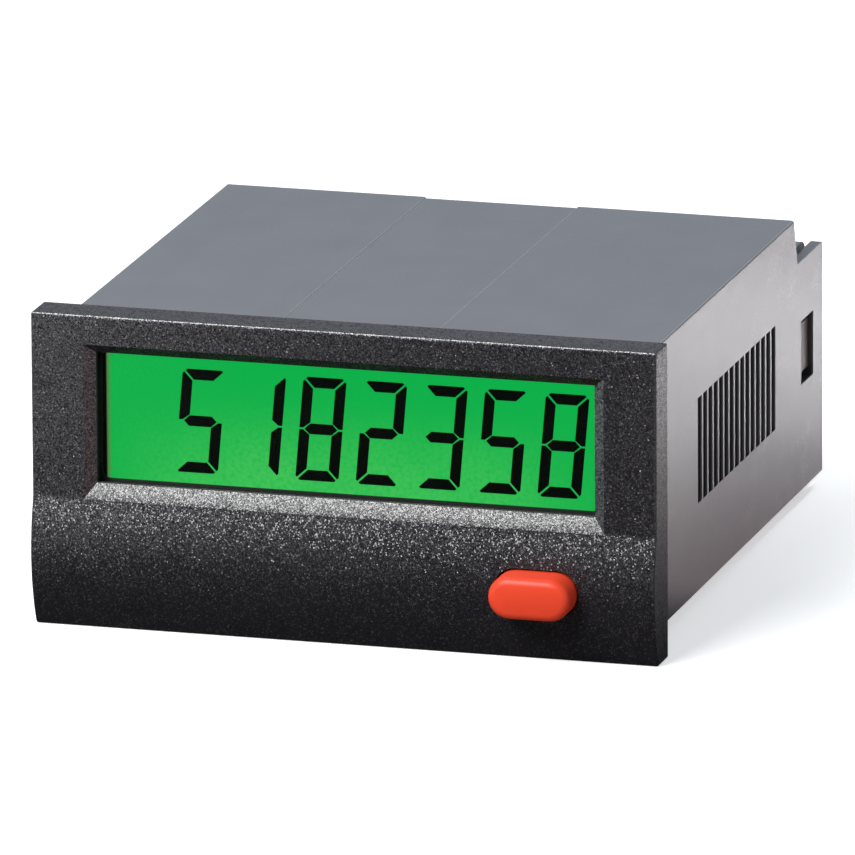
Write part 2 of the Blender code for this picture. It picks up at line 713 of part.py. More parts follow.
def build_lcd(glass_material, rear_material):
    """The two glasses of the liquid crystal cell, with the lit segments raised on the front one."""
    front = outline_solid(
        "lcd_front_glass", [rectangle(-HALF_GLASS, HALF_GLASS, GLASS_BOTTOM, GLASS_TOP)],
        GLASS_FRONT, GLASS_REAR, "XZ",
    )
    relief_front = GLASS_FRONT - DIGIT_RELIEF
    join(front, outline_solid("digits", digit_loops(), relief_front, GLASS_FRONT + ROOT_OVERLAP, "XZ"))
    add_piece(front, glass_material)
    rear = box(
        "lcd_rear_glass", (-HALF_GLASS, REAR_GLASS_FRONT, REAR_GLASS_BOTTOM),
        (HALF_GLASS, REAR_GLASS_REAR, GLASS_TOP),
    )
    add_piece(rear, rear_material)


def build_backlight(guide_material, led_material):
    """The light guide behind the glass and the lamp at each of its ends."""
    reach = HOLDER_INNER - FIT_GAP - LED_LENGTH - FIT_GAP
    low = REAR_GLASS_BOTTOM + HOLDER_WALL + FIT_GAP
    high = GLASS_TOP - HOLDER_WALL - FIT_GAP
    outline = chamfered_rectangle(-reach, reach, low, high, SMALL_CHAMFER)
    add_piece(outline_solid("light_guide", [outline], GUIDE_FRONT, GUIDE_REAR, "XZ"), guide_material)
    middle = (low + high) / 2
    for side, word in ((-1, "left"), (1, "right")):
        near = side * (reach + FIT_GAP)
        far = side * (reach + FIT_GAP + LED_LENGTH)
        lamp = box(
            "backlight_led_" + word, (min(near, far), GUIDE_FRONT + FIT_GAP, middle - LED_HEIGHT / 2),
            (max(near, far), DISPLAY_BOARD_FRONT - STACK_GAP, middle + LED_HEIGHT / 2),
        )
        add_piece(lamp, led_material)


def build_lcd_holder(material):
    """The white frame that holds glass, light guide and contact strip against the display board."""
    top = GLASS_TOP
    low = GLASS_BOTTOM - FIT_GAP - HOLDER_WALL
    front = GLASS_FRONT + STACK_GAP
    rail_front = REAR_GLASS_REAR + STACK_GAP
    holder = outline_solid(
        "lcd_holder", [
            rectangle(-HOLDER_OUTER, HOLDER_OUTER, low, top),
            rectangle(-HOLDER_INNER, HOLDER_INNER, low + HOLDER_WALL, top - HOLDER_WALL),
        ], rail_front, HOLDER_REAR, "XZ",
    )
    cheeks = [
        ((side * HOLDER_OUTER, front, low), (side * HOLDER_INNER, rail_front + ROOT_OVERLAP, top))
        for side in (-1, 1)
    ]
    ordered = [
        ((min(a[0], b[0]), a[1], a[2]), (max(a[0], b[0]), b[1], b[2])) for a, b in cheeks
    ]
    join(holder, boxes("holder_cheeks", ordered))
    rail_low = REAR_GLASS_BOTTOM
    join(holder, box(
        "strip_rail", (-HOLDER_INNER - HOLDER_WALL / 2, rail_front, rail_low),
        (HOLDER_INNER + HOLDER_WALL / 2, HOLDER_REAR, rail_low + HOLDER_WALL),
    ))
    foot_low = low - HOLDER_FOOT
    foot_high = low + HOLDER_WALL / 2
    foot_inner = HOLDER_OUTER - HOLDER_FOOT
    feet = [
        ((foot_inner, rail_front, foot_low), (HOLDER_OUTER, HOLDER_REAR, foot_high)),
        ((-HOLDER_OUTER, rail_front, foot_low), (-foot_inner, HOLDER_REAR, foot_high)),
    ]
    join(holder, boxes("holder_feet", feet))
    for x, z in peg_places():
        join(holder, rod(
            "holder_peg", HOLDER_PEG_RADIUS, (x, HOLDER_REAR - ROOT_OVERLAP, z),
            (x, DISPLAY_BOARD_REAR + STACK_GAP, z),
        ))
    return add_piece(holder, material)


def peg_places():
    """Where the holder's two pegs go through the display board."""
    x = HOLDER_OUTER - HOLDER_FOOT / 2
    z = GLASS_BOTTOM - FIT_GAP - HOLDER_WALL - HOLDER_FOOT / 2
    return [(-x, z), (x, z)]


def build_contact_strip(material):
    """The striped rubber that joins the glass's contact ledge to the display board."""
    low = GLASS_BOTTOM + FIT_GAP / 2
    strip = box(
        "contact_strip", (-HALF_WINDOW, GLASS_REAR + STACK_GAP, low),
        (HALF_WINDOW, DISPLAY_BOARD_FRONT - STACK_GAP, low + CONTACT_STRIP_THICKNESS),
    )
    return add_piece(strip, material)


def build_reset_button(material, carrier):
    """The button: chamfered cap, retaining collar behind the panel and a stem to the switch."""
    cap = [obround((BUTTON_X, BUTTON_Z), BUTTON_WIDTH, BUTTON_HEIGHT)]
    button = outline_solid("reset_button", cap, BUTTON_FRONT, COLLAR_REAR, "XZ")
    front_local = (COLLAR_REAR - BUTTON_FRONT) / 2

    def on_front_rim(first, second):
        # In the outline's own axes w runs towards the front
        near = BUTTON_CHAMFER / 2
        return first.z > front_local - near and second.z > front_local - near

    round_edges(button, on_front_rim, BUTTON_CHAMFER, RIM_STEPS)
    collar_width = BUTTON_WIDTH + 2 * BUTTON_COLLAR
    collar_height = BUTTON_HEIGHT + 2 * BUTTON_COLLAR
    collar = [obround((BUTTON_X, BUTTON_Z), collar_width, collar_height)]
    join(button, outline_solid("button_collar", collar, COLLAR_FRONT, COLLAR_REAR - STACK_GAP / 2, "XZ"))
    half = BUTTON_STEM_WIDTH / 2
    join(button, box(
        "button_stem", (BUTTON_X - half, COLLAR_FRONT, BUTTON_Z - half),
        (BUTTON_X + half, STEM_REAR, BUTTON_Z + half),
    ))
    return add_piece(button, material, carrier)


def build_switch(body_material, plunger_material, carrier):
    """The tactile switch on the display board: a case with a chamber, and its plunger."""
    half = SWITCH_SIDE / 2
    case = outline_solid(
        "switch_case", [chamfered_rectangle(
            BUTTON_X - half, BUTTON_X + half, BUTTON_Z - half, BUTTON_Z + half, SMALL_CHAMFER
        )], SWITCH_FRONT, SWITCH_REAR, "XZ",
    )
    chamber_front = SWITCH_FRONT + SWITCH_LID
    centre = (BUTTON_X, BUTTON_Z)
    chamber_radius = PLUNGER_COLLAR_RADIUS + STACK_GAP
    mouth_radius = PLUNGER_RADIUS + STACK_GAP
    cut(case, rod(
        "switch_chamber", chamber_radius, (centre[0], chamber_front, centre[1]),
        (centre[0], chamber_front + SWITCH_CHAMBER, centre[1]),
    ))
    cut(case, rod(
        "switch_mouth", mouth_radius, (centre[0], SWITCH_FRONT - OVERCUT, centre[1]),
        (centre[0], chamber_front + SWITCH_CHAMBER / 2, centre[1]),
    ))
    add_piece(case, body_material)

    collar_front = chamber_front + STACK_GAP
    collar_rear = collar_front + PLUNGER_COLLAR_LENGTH
    profile = [
        (0.0, 0.0), (PLUNGER_RADIUS, 0.0), (PLUNGER_RADIUS, PLUNGER_FRONT - collar_front),
        (PLUNGER_COLLAR_RADIUS, PLUNGER_FRONT - collar_front),
        (PLUNGER_COLLAR_RADIUS, PLUNGER_FRONT - collar_rear), (0.0, PLUNGER_FRONT - collar_rear),
    ]
    plunger = turned(
        "switch_plunger", profile, Vector((centre[0], PLUNGER_FRONT, centre[1])), (0, -1, 0),
        SMALL_ROUND_SEGMENTS,
    )
    add_piece(plunger, plunger_material, carrier)


def pin_row():
    """The places of the link's pins across the counter."""
    first = -(PIN_COUNT - 1) / 2 * PIN_PITCH
    return [first + i * PIN_PITCH for i in range(PIN_COUNT)]


def link_pin_places():
    """Height of the pins in the display board and their depth in the main board."""
    height = ON_BOARD + LINK_HEIGHT / 2
    depth = MAIN_BOARD_FRONT + BOARD_THICKNESS
    return height, depth


def build_boards(material):
    """The upright display board and the flat main board, with their holes."""
    pin_height, pin_depth = link_pin_places()
    pins = [circle((x, pin_height), PIN_HOLE_RADIUS, HOLE_SEGMENTS) for x in pin_row()]
    pegs = [circle(place, HOLDER_PEG_RADIUS + STACK_GAP) for place in peg_places()]
    outline = rectangle(-HOLDER_OUTER, HOLDER_OUTER, INSIDE_BOTTOM + FIT_GAP, INSIDE_TOP - FIT_GAP)
    display = outline_solid(
        "display_board", [outline] + pins + pegs, DISPLAY_BOARD_FRONT, DISPLAY_BOARD_REAR, "XZ"
    )
    add_piece(display, material)

    pins = [circle((x, pin_depth), PIN_HOLE_RADIUS, HOLE_SEGMENTS) for x in pin_row()]
    slots = []
    for x in battery_tab_places():
        half = BATTERY_TAB_THICKNESS / 2 + STACK_GAP
        y = battery_depth()
        reach = BATTERY_TAB_WIDTH / 2 + STACK_GAP
        slots.append(rectangle(x - half, x + half, y - reach, y + reach))
    contact_y = CONTACT_FRONT + CONTACT_THICKNESS / 2
    contact_radius = CONTACT_PIN_WIDTH / 2 + CONTACT_THICKNESS / 2 - STACK_GAP
    contacts = [circle((x, contact_y), contact_radius, SMALL_ROUND_SEGMENTS) for x in terminal_places()]
    outline = rectangle(-HALF_BOARD, HALF_BOARD, MAIN_BOARD_FRONT, MAIN_BOARD_REAR)
    main = outline_solid("main_board", [outline] + pins + slots + contacts, BOARD_BOTTOM, BOARD_TOP, "XY")
    add_piece(main, material)


def build_board_link(material):
    """The pin strip that joins the two boards: a bar with bent pins through it."""
    pin_height, pin_depth = link_pin_places()
    half_pin = PIN_SIDE / 2
    half_bar = (PIN_COUNT * PIN_PITCH) / 2
    bar = box(
        "board_link", (-half_bar, DISPLAY_BOARD_REAR + FIT_GAP, ON_BOARD),
        (half_bar, pin_depth - half_pin, ON_BOARD + LINK_HEIGHT),
    )
    front = DISPLAY_BOARD_FRONT - PIN_OVERHANG / 2
    bottom = BOARD_BOTTOM - PIN_OVERHANG
    bent = [
        (front, pin_height - half_pin), (pin_depth - half_pin, pin_height - half_pin),
        (pin_depth - half_pin, bottom), (pin_depth + half_pin, bottom),
        (pin_depth + half_pin, pin_height + half_pin), (front, pin_height + half_pin),
    ]
    first = pin_row()[0]
    pins = outline_solid("link_pins", [bent], first - half_pin, first + half_pin, "YZ")
    row = pins.modifiers.new("row", "ARRAY")
    row.count = PIN_COUNT
    row.use_relative_offset = False
    row.use_constant_offset = True
    row.constant_offset_displace = (0.0, 0.0, PIN_PITCH)
    join(bar, pins)
    return add_piece(bar, material)


def battery_depth():
    """Depth of the battery's axis."""
    return MAIN_BOARD_FRONT + BATTERY_FROM_BOARD_FRONT


def battery_tab_places():
    """Where the battery's two tabs stand across the counter."""
    reach = BATTERY_LENGTH / 2 + FIT_GAP + BATTERY_TAB_THICKNESS / 2
    return [BATTERY_CENTRE_X - reach, BATTERY_CENTRE_X + reach]


def build_battery(cell_material, tab_material):
    """The lithium cell lying across the main board, and its two soldering tabs."""
    y = battery_depth()
    z = ON_BOARD + BATTERY_DIAMETER / 2
    radius = BATTERY_DIAMETER / 2
    edge = BATTERY_EDGE
    half = BATTERY_LENGTH / 2
    nub = BATTERY_NUB_RADIUS
    profile = [
        (0.0, half), (nub, half), (nub, half - edge), (radius - edge, half - edge),
        (radius, half - 2 * edge), (radius, -half + edge), (radius - edge, -half), (0.0, -half),
    ]
    cell = turned("battery_cell", profile, Vector((BATTERY_CENTRE_X, y, z)), (1, 0, 0))
    add_piece(cell, cell_material)
    top = z + BATTERY_NUB_RADIUS
    bottom = BOARD_BOTTOM - PIN_OVERHANG
    for x, word in zip(battery_tab_places(), ("minus", "plus")):
        low = (x - BATTERY_TAB_THICKNESS / 2, y - BATTERY_TAB_WIDTH / 2, bottom)
        high = (x + BATTERY_TAB_THICKNESS / 2, y + BATTERY_TAB_WIDTH / 2, top)
        add_piece(box("battery_tab_" + word, low, high), tab_material)


def build_processor(material):
    """The processor on the rear of the display board, with its two rows of legs."""
    half = CHIP_SIDE / 2
    front = DISPLAY_BOARD_REAR + FIT_GAP
    low = ON_BOARD + LINK_HEIGHT + PART_SPACING
    centre_z = low + half
    outline = chamfered_rectangle(-half, half, low, low + CHIP_SIDE, SMALL_CHAMFER)
    chip = outline_solid("processor_chip", [outline], front, front + CHIP_THICKNESS, "XZ")
    reach = half + CHIP_LEG_LENGTH
    leg_half = CHIP_LEG_WIDTH / 2
    rows = [(i - (CHIP_LEGS - 1) / 2) * CHIP_LEG_PITCH for i in range(CHIP_LEGS)]
    leg_rear = front + CHIP_LEG_THICKNESS
    legs = [
        ((-reach, front, centre_z + row - leg_half), (reach, leg_rear, centre_z + row + leg_half))
        for row in rows
    ]
    join(chip, boxes("chip_legs", legs))
    return add_piece(chip, material)


def build_board_cans(capacitor_material, crystal_material):
    """The capacitor and the crystal in a row beside the battery."""
    x = battery_tab_places()[1] + BATTERY_TAB_THICKNESS / 2 + PART_SPACING + CAPACITOR_RADIUS
    y = link_pin_places()[1] + PIN_SIDE + PART_SPACING + CAPACITOR_RADIUS
    capacitor = rod(
        "capacitor_can", CAPACITOR_RADIUS, (x, y, ON_BOARD), (x, y, ON_BOARD + CAPACITOR_LENGTH),
        MEDIUM_ROUND_SEGMENTS,
    )
    add_piece(capacitor, capacitor_material)
    front = y + CAPACITOR_RADIUS + PART_SPACING
    half = CRYSTAL_WIDTH / 2
    outline = rounded_rectangle(x - half, x + half, front, front + CRYSTAL_LENGTH, CRYSTAL_CORNER_RADIUS)
    crystal = outline_solid("crystal_can", [outline], ON_BOARD, ON_BOARD + CRYSTAL_HEIGHT, "XY")
    add_piece(crystal, crystal_material)


def rack_loops():
    """Sawtooth grooves of both racks, seen from above: steep towards the front, sloped behind."""
    outside = HALF_HOUSING + OVERCUT
    floor = HALF_HOUSING - RACK_DEPTH
    start = PANEL_SEAT + RACK_START
    loops = []
    for tooth in range(RACK_TEETH):
        near = start + tooth * RACK_PITCH
        far = near + RACK_PITCH - RACK_LAND
        groove = [(HALF_HOUSING, near), (floor, far), (outside, far), (outside, near)]
        loops.append(groove[::-1])
        loops.append(mirrored(groove[::-1]))
    return loops


def latch_window_span():
    """Depth and height limits of the snap windows in the ears."""
    rear = EAR_REAR - LATCH_WINDOW_FROM_REAR
    front = rear - LATCH_WINDOW_LENGTH
    return front, rear, MID_HEIGHT - LATCH_WINDOW_HEIGHT / 2, MID_HEIGHT + LATCH_WINDOW_HEIGHT / 2


def build_housing(material):
    """The deep shell: open at the front, cut down at the rear, with racks, rails and windows.

    Its front edge is stepped: a thinner lip goes into the flange's rebate.
    """
    outer = rounded_rectangle(-HALF_HOUSING, HALF_HOUSING, HOUSING_BOTTOM, HOUSING_TOP, HOUSING_EDGE_RADIUS)
    inner = rectangle(-HALF_INSIDE, HALF_INSIDE, INSIDE_BOTTOM, INSIDE_TOP)
    housing = outline_solid("housing", [outer, inner], HOUSING_FRONT, EAR_REAR, "XZ")
    beyond = HALF_HOUSING + OVERCUT
    lip = HALF_HOUSING - HOUSING_LIP_STEP
    around = rectangle(-beyond, beyond, HOUSING_BOTTOM - OVERCUT, HOUSING_TOP + OVERCUT)
    lip_outline = rectangle(-lip, lip, HOUSING_BOTTOM + HOUSING_LIP_STEP, HOUSING_TOP - HOUSING_LIP_STEP)
    cut(housing, outline_solid(
        "front_step", [around, lip_outline], HOUSING_FRONT - OVERCUT, HOUSING_SHOULDER, "XZ",
    ))

    slope = NOTCH_SLANT / EAR_DROP
    above = HOUSING_TOP + OVERCUT
    behind = EAR_REAR + OVERCUT
    notch = [
        (HOUSING_TOP_REAR - slope * OVERCUT, above), (HOUSING_TOP_REAR + NOTCH_SLANT, EAR_TOP),
        (behind, EAR_TOP), (behind, above),
    ]
    reach = HALF_HOUSING + OVERCUT
    cut(housing, outline_solid("rear_notch", [notch], -reach, reach, "YZ"))
    rack_low = MID_HEIGHT - RACK_HEIGHT / 2
    cut(housing, outline_solid("rack_grooves", rack_loops(), rack_low, rack_low + RACK_HEIGHT, "XY"))
    front, rear, low, high = latch_window_span()
    cut(housing, box("latch_windows", (-reach, front, low), (reach, rear, high)))
    cut(housing, box(
        "top_recess", (-TOP_RECESS_LEFT, HOUSING_FRONT - OVERCUT, HOUSING_TOP - TOP_RECESS_DEPTH),
        (TOP_RECESS_RIGHT, EAR_REAR, HOUSING_TOP + OVERCUT),
    ))

    hook_depth = TONGUE_HOOK + TONGUE_GAP
    catch_front = HOUSING_FRONT + TONGUE_LENGTH - TONGUE_HOOK_LENGTH - TONGUE_GAP
    catch_rear = HOUSING_FRONT + TONGUE_LENGTH + TONGUE_GAP
    catch_half = TONGUE_HEIGHT / 2 + TONGUE_GAP
    catch = TONGUE_OUTER + hook_depth
    cut(housing, box(
        "tongue_catches", (-catch, catch_front, MID_HEIGHT - catch_half),
        (catch, catch_rear, MID_HEIGHT + catch_half),
    ))

    wall = HALF_INSIDE + HOUSING_WALL / 2
    lower_top = BOARD_BOTTOM - STACK_GAP
    upper_low = BOARD_TOP + STACK_GAP
    rail_front = MAIN_BOARD_FRONT + FIT_GAP
    lower_rear = MAIN_BOARD_REAR - FIT_GAP
    upper_rear = BLOCK_FRONT - FIT_GAP
    rails = []
    for left, right in ((-wall, -RAIL_INNER), (RAIL_INNER, wall)):
        rails.append(((left, rail_front, INSIDE_BOTTOM - HOUSING_WALL / 2), (right, lower_rear, lower_top)))
        rails.append(((left, rail_front, upper_low), (right, upper_rear, upper_low + RAIL_THICKNESS)))
    join(housing, boxes("board_rails", rails))
    return add_piece(housing, material)


def terminal_places():
    """The middle of each terminal's pole across the counter."""
    first = -(TERMINALS - 1) / 2 * TERMINAL_PITCH
    return [first + i * TERMINAL_PITCH for i in range(TERMINALS)]


def block_profile():
    """The terminal block seen from its side: closing wall, deck, rounded rear corner and skirt.

    The closing wall leans as the housing's notch does, and the skirt hides the board's end.
    """
    wall_top = INSIDE_TOP - BLOCK_SIDE_GAP
    lean = NOTCH_SLANT / EAR_DROP
    wall_rear = BLOCK_FRONT + BLOCK_WALL_THICKNESS
    foot = wall_rear + lean * (wall_top - BLOCK_TOP)
    radius = BLOCK_CORNER_RADIUS
    corner = arc((BLOCK_REAR - radius, BLOCK_TOP - radius), radius, math.pi / 2, 0.0, CORNER_STEPS)
    skirt = MAIN_BOARD_REAR + FIT_GAP
    return [
        (BLOCK_FRONT, ON_BOARD), (BLOCK_FRONT, wall_top), (wall_rear, wall_top), (foot, BLOCK_TOP),
    ] + corner + [(BLOCK_REAR, BLOCK_BOTTOM), (skirt, BLOCK_BOTTOM), (skirt, ON_BOARD)]


def funnel(x):
    """The flared mouth of a pole's wire entry, cut from the rear."""
    low = CAGE_BOTTOM + CAGE_BASE
    middle = low + WIRE_SPACE / 2
    mouth = HALF_CHAMBER
    flare = WIRE_FUNNEL_DEPTH
    depth = flare + OVERCUT
    spread = (HALF_CAGE - CAGE_WALL, mouth)
    body = bmesh.new()
    bmesh.ops.create_cube(body, size=1.0)
    grow = (spread[1] - spread[0]) / flare
    for corner in body.verts:
        outward = depth if corner.co.y > 0 else 0.0
        width = spread[0] + grow * outward
        height = WIRE_SPACE / 2 + grow * outward
        corner.co.x = x + math.copysign(width, corner.co.x)
        corner.co.z = middle + math.copysign(height, corner.co.z)
        corner.co.y = BLOCK_REAR - flare + outward
    mesh = bpy.data.meshes.new("wire_funnel")
    body.to_mesh(mesh)
    body.free()
    return bpy.data.objects.new("wire_funnel", mesh)


def build_terminal_block(material):
    """The moulded block that closes the rear: chambers, screw wells, wire entries, snap hooks."""
    block = outline_solid("terminal_block", [block_profile()], -HALF_BLOCK, HALF_BLOCK, "YZ")
    chamber_rear = CAGE_REAR + CAGE_GAP
    chamber_top = CHAMBER_BOTTOM + CHAMBER_HEIGHT
    half_pin = CONTACT_PIN_WIDTH / 2 + CONTACT_SIDE_GAP
    wire_low = CAGE_BOTTOM + CAGE_BASE
    wire_half = HALF_CAGE - CAGE_WALL
    chambers, pin_slots, entries = [], [], []
    for x in terminal_places():
        chambers.append((
            (x - HALF_CHAMBER, CHAMBER_FRONT, CHAMBER_BOTTOM), (x + HALF_CHAMBER, chamber_rear, chamber_top)
        ))
        pin_slots.append((
            (x - half_pin, CHAMBER_FRONT, ON_BOARD - OVERCUT),
            (x + half_pin, CONTACT_FRONT + CONTACT_THICKNESS + CAGE_GAP, CHAMBER_BOTTOM + ROOT_OVERLAP),
        ))
        entries.append((
            (x - wire_half, chamber_rear - ROOT_OVERLAP, wire_low),
            (x + wire_half, BLOCK_REAR + OVERCUT, wire_low + WIRE_SPACE),
        ))
    cut(block, boxes("terminal_chambers", chambers))
    cut(block, boxes("pin_slots", pin_slots))
    cut(block, boxes("wire_entries", entries))
    for x in terminal_places():
        cut(block, rod(
            "screw_well", HALF_CHAMBER - STACK_GAP / 2, (x, CAGE_MIDDLE, chamber_top - ROOT_OVERLAP),
            (x, CAGE_MIDDLE, BLOCK_TOP + OVERCUT), MEDIUM_ROUND_SEGMENTS,
        ))
        cut(block, funnel(x))

    front, rear, low, high = latch_window_span()
    tip = HALF_HOUSING - LATCH_FACE_DEPTH
    near = front + STACK_GAP
    far = rear - STACK_GAP
    root = HALF_BLOCK - ROOT_OVERLAP
    ramp_foot = HALF_BLOCK + ROOT_OVERLAP / 2
    hook = [(root, near), (ramp_foot, near), (tip, near + LATCH_RAMP), (tip, far), (root, far)]
    hook_low = low + LATCH_HOOK_DROP
    hook_high = high - LATCH_HOOK_DROP
    join(block, outline_solid("snap_hooks", [hook, mirrored(hook)], hook_low, hook_high, "XY"))
    return add_piece(block, material)


def build_terminals(cage_material, contact_material, screw_material):
    """Each pole's lift cage, contact with its solder pin, and screw."""
    opening = HALF_CAGE - CAGE_WALL
    for number, x in enumerate(terminal_places(), start=1):
        cage = outline_solid(
            "terminal_cage_%d" % number, [
                rectangle(x - HALF_CAGE, x + HALF_CAGE, CAGE_BOTTOM, CAGE_TOP),
                rectangle(x - opening, x + opening, CAGE_BOTTOM + CAGE_BASE, CAGE_HEAD_BOTTOM),
            ], CAGE_FRONT, CAGE_REAR, "XZ",
        )
        thread = SCREW_SHANK_RADIUS + SCREW_THREAD_GAP
        cut(cage, rod(
            "cage_thread", thread, (x, CAGE_MIDDLE, CAGE_HEAD_BOTTOM - ROOT_OVERLAP),
            (x, CAGE_MIDDLE, CAGE_TOP + OVERCUT),
        ))
        add_piece(cage, cage_material)

        contact = box(
            "terminal_contact_%d" % number, (x - HALF_CONTACT, CONTACT_FRONT, CONTACT_BOTTOM),
            (x + HALF_CONTACT, CONTACT_REAR, CONTACT_TOP),
        )
        join(contact, box(
            "contact_pin", (x - CONTACT_PIN_WIDTH / 2, CONTACT_FRONT, BOARD_BOTTOM - PIN_OVERHANG),
            (x + CONTACT_PIN_WIDTH / 2, CONTACT_FRONT + CONTACT_THICKNESS, CONTACT_TOP - ROOT_OVERLAP),
        ))
        add_piece(contact, contact_material)
        add_piece(build_terminal_screw(number, x), screw_material)


def build_terminal_screw(number, x):
    """A slotted screw that stands in its well, its tip on the contact."""
    crown = SCREW_HEAD_THICKNESS
    radius = HALF_CAGE
    length = SCREW_HEAD_BOTTOM - SCREW_TIP
    shank = SCREW_SHANK_RADIUS
    chamfer = SCREW_CHAMFER
    profile = [
        (0.0, crown), (radius - chamfer, crown), (radius, crown - chamfer), (radius, 0.0),
        (shank, 0.0), (shank, -length + chamfer), (shank - chamfer, -length), (0.0, -length),
    ]
    name = "terminal_screw_%d" % number
    centre = Vector((x, CAGE_MIDDLE, SCREW_HEAD_BOTTOM))
    screw = turned(name, profile, centre, (0, 0, 1), MEDIUM_ROUND_SEGMENTS)
    top = SCREW_HEAD_BOTTOM + crown
    reach = radius + OVERCUT
    slim = SCREW_SLOT_WIDTH / 2
    cut(screw, box(
        "screw_slot", (x - reach, CAGE_MIDDLE - slim, top - SCREW_SLOT_DEPTH),
        (x + reach, CAGE_MIDDLE + slim, top + OVERCUT),
    ))
    return screw


def main():
    """Build every piece of the counter."""
    global PARTS, CUTTERS, ORIGIN
    clear_scene()
    PARTS = new_collection("panel_counter")
    CUTTERS = new_collection("cutters")
    ORIGIN = new_empty("counter_origin", (0.0, -ORIGIN_Y, 0.0))
    travel = new_empty("reset_travel", (BUTTON_X, 0.0, BUTTON_Z), ORIGIN)

    black = plastic("bezel_black", (0.022, 0.021, 0.025), 0.5)
    grey = plastic("housing_grey", (0.34, 0.35, 0.37), 0.55)
    dark = plastic("terminal_block_grey", (0.10, 0.12, 0.12), 0.5)
    orange = plastic("button_orange", (0.80, 0.07, 0.02), 0.35)
    clear = plastic("window_clear", (0.9, 0.95, 0.92), 0.05, alpha=0.15)
    green = plastic("display_green", (0.02, 0.45, 0.08), 0.3)
    glass = plastic("rear_glass", (0.6, 0.75, 0.65), 0.1, alpha=0.6)
    guide = plastic("light_guide_clear", (0.85, 0.9, 0.85), 0.1, alpha=0.6)
    white = plastic("holder_white", (0.8, 0.8, 0.78), 0.5)
    lamp = plastic("lamp_green", (0.2, 0.8, 0.3), 0.3)
    rubber = plastic("contact_rubber", (0.25, 0.22, 0.2), 0.8)
    board = plastic("board_green", (0.02, 0.16, 0.06), 0.45)
    soot = plastic("moulded_black", (0.03, 0.03, 0.03), 0.5)
    steel = plastic("plated_steel", (0.6, 0.6, 0.6), 0.3, 1.0)
    brass = plastic("plated_brass", (0.72, 0.62, 0.38), 0.3, 1.0)
    sleeve = plastic("battery_sleeve", (0.1, 0.25, 0.45), 0.4)

    build_front_bezel(black)
    build_display_window(clear)
    build_display_mask(soot)
    build_lcd(green, glass)
    build_backlight(guide, lamp)
    build_lcd_holder(white)
    build_contact_strip(rubber)
    build_reset_button(orange, travel)
    build_switch(soot, white, travel)
    build_boards(board)
    build_board_link(soot)
    build_battery(sleeve, steel)
    build_processor(soot)
    build_board_cans(sleeve, steel)
    build_housing(grey)
    build_terminal_block(dark)
    build_terminals(brass, steel, steel)
    bpy.context.view_layer.update()


if __name__ == "__main__":
    main()
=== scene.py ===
"""The looks of a panel counter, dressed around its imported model.

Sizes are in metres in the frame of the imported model: +X to the right seen from the front, +Y from
the front to the rear, +Z up. The counter stands on its underside at z = 0. Finishes measure their
patterns and places in millimetres, so a noise scale of 8 makes eight grains a millimetre.
"""

import json
import logging
import math
from collections.abc import Mapping
from dataclasses import dataclass, field
from enum import Enum

import bmesh
import bpy
from mathutils import Matrix, Vector


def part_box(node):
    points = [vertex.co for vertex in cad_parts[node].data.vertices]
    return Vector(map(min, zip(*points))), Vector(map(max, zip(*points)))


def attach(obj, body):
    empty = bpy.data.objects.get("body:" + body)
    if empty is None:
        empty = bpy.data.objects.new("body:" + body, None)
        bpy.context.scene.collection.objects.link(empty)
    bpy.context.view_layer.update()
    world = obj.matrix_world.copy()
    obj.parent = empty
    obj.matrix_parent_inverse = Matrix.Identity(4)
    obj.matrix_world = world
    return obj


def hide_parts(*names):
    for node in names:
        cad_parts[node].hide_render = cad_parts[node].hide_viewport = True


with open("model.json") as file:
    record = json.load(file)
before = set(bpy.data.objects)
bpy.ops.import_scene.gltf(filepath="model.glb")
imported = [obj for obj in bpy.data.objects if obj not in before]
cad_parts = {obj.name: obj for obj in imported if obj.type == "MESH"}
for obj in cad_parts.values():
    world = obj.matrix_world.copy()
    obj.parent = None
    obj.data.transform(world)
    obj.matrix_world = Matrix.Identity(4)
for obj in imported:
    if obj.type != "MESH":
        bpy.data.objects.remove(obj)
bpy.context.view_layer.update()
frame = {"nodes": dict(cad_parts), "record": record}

LOG = logging.getLogger("panel_counter")
PHOTO_WIDTH = 855
PER_MILLIMETRE = 1000.0

# How far the display's segments stand proud of the front glass, in metres.
DIGIT_RELIEF = 0.00006
# One wave of Blender's band texture at a scale of 1.
WAVE_LENGTH = math.tau / 20

Colour = tuple[float, float, float]
# Where a smooth step starts and where it ends.
Band = tuple[float, float]


class Cell(Enum):
    """What is read from a pattern of cells."""

    DISTANCE = "Distance"
    LOT = "Color"


class Ray(Enum):
    """The kinds of ray that the stage tells apart."""

    CAMERA = "Is Camera Ray"
    GLOSSY = "Is Glossy Ray"
    THROUGH = "Is Transmission Ray"


class Coordinates(Enum):
    """Where a pattern is read."""

    OBJECT = "Object"
    NORMAL = "Normal"
    ALL_ROUND = "Generated"


def scaled(colour: Colour, share: float) -> Colour:
    """The colour, darker or paler by a share."""
    return tuple(part * share for part in colour)


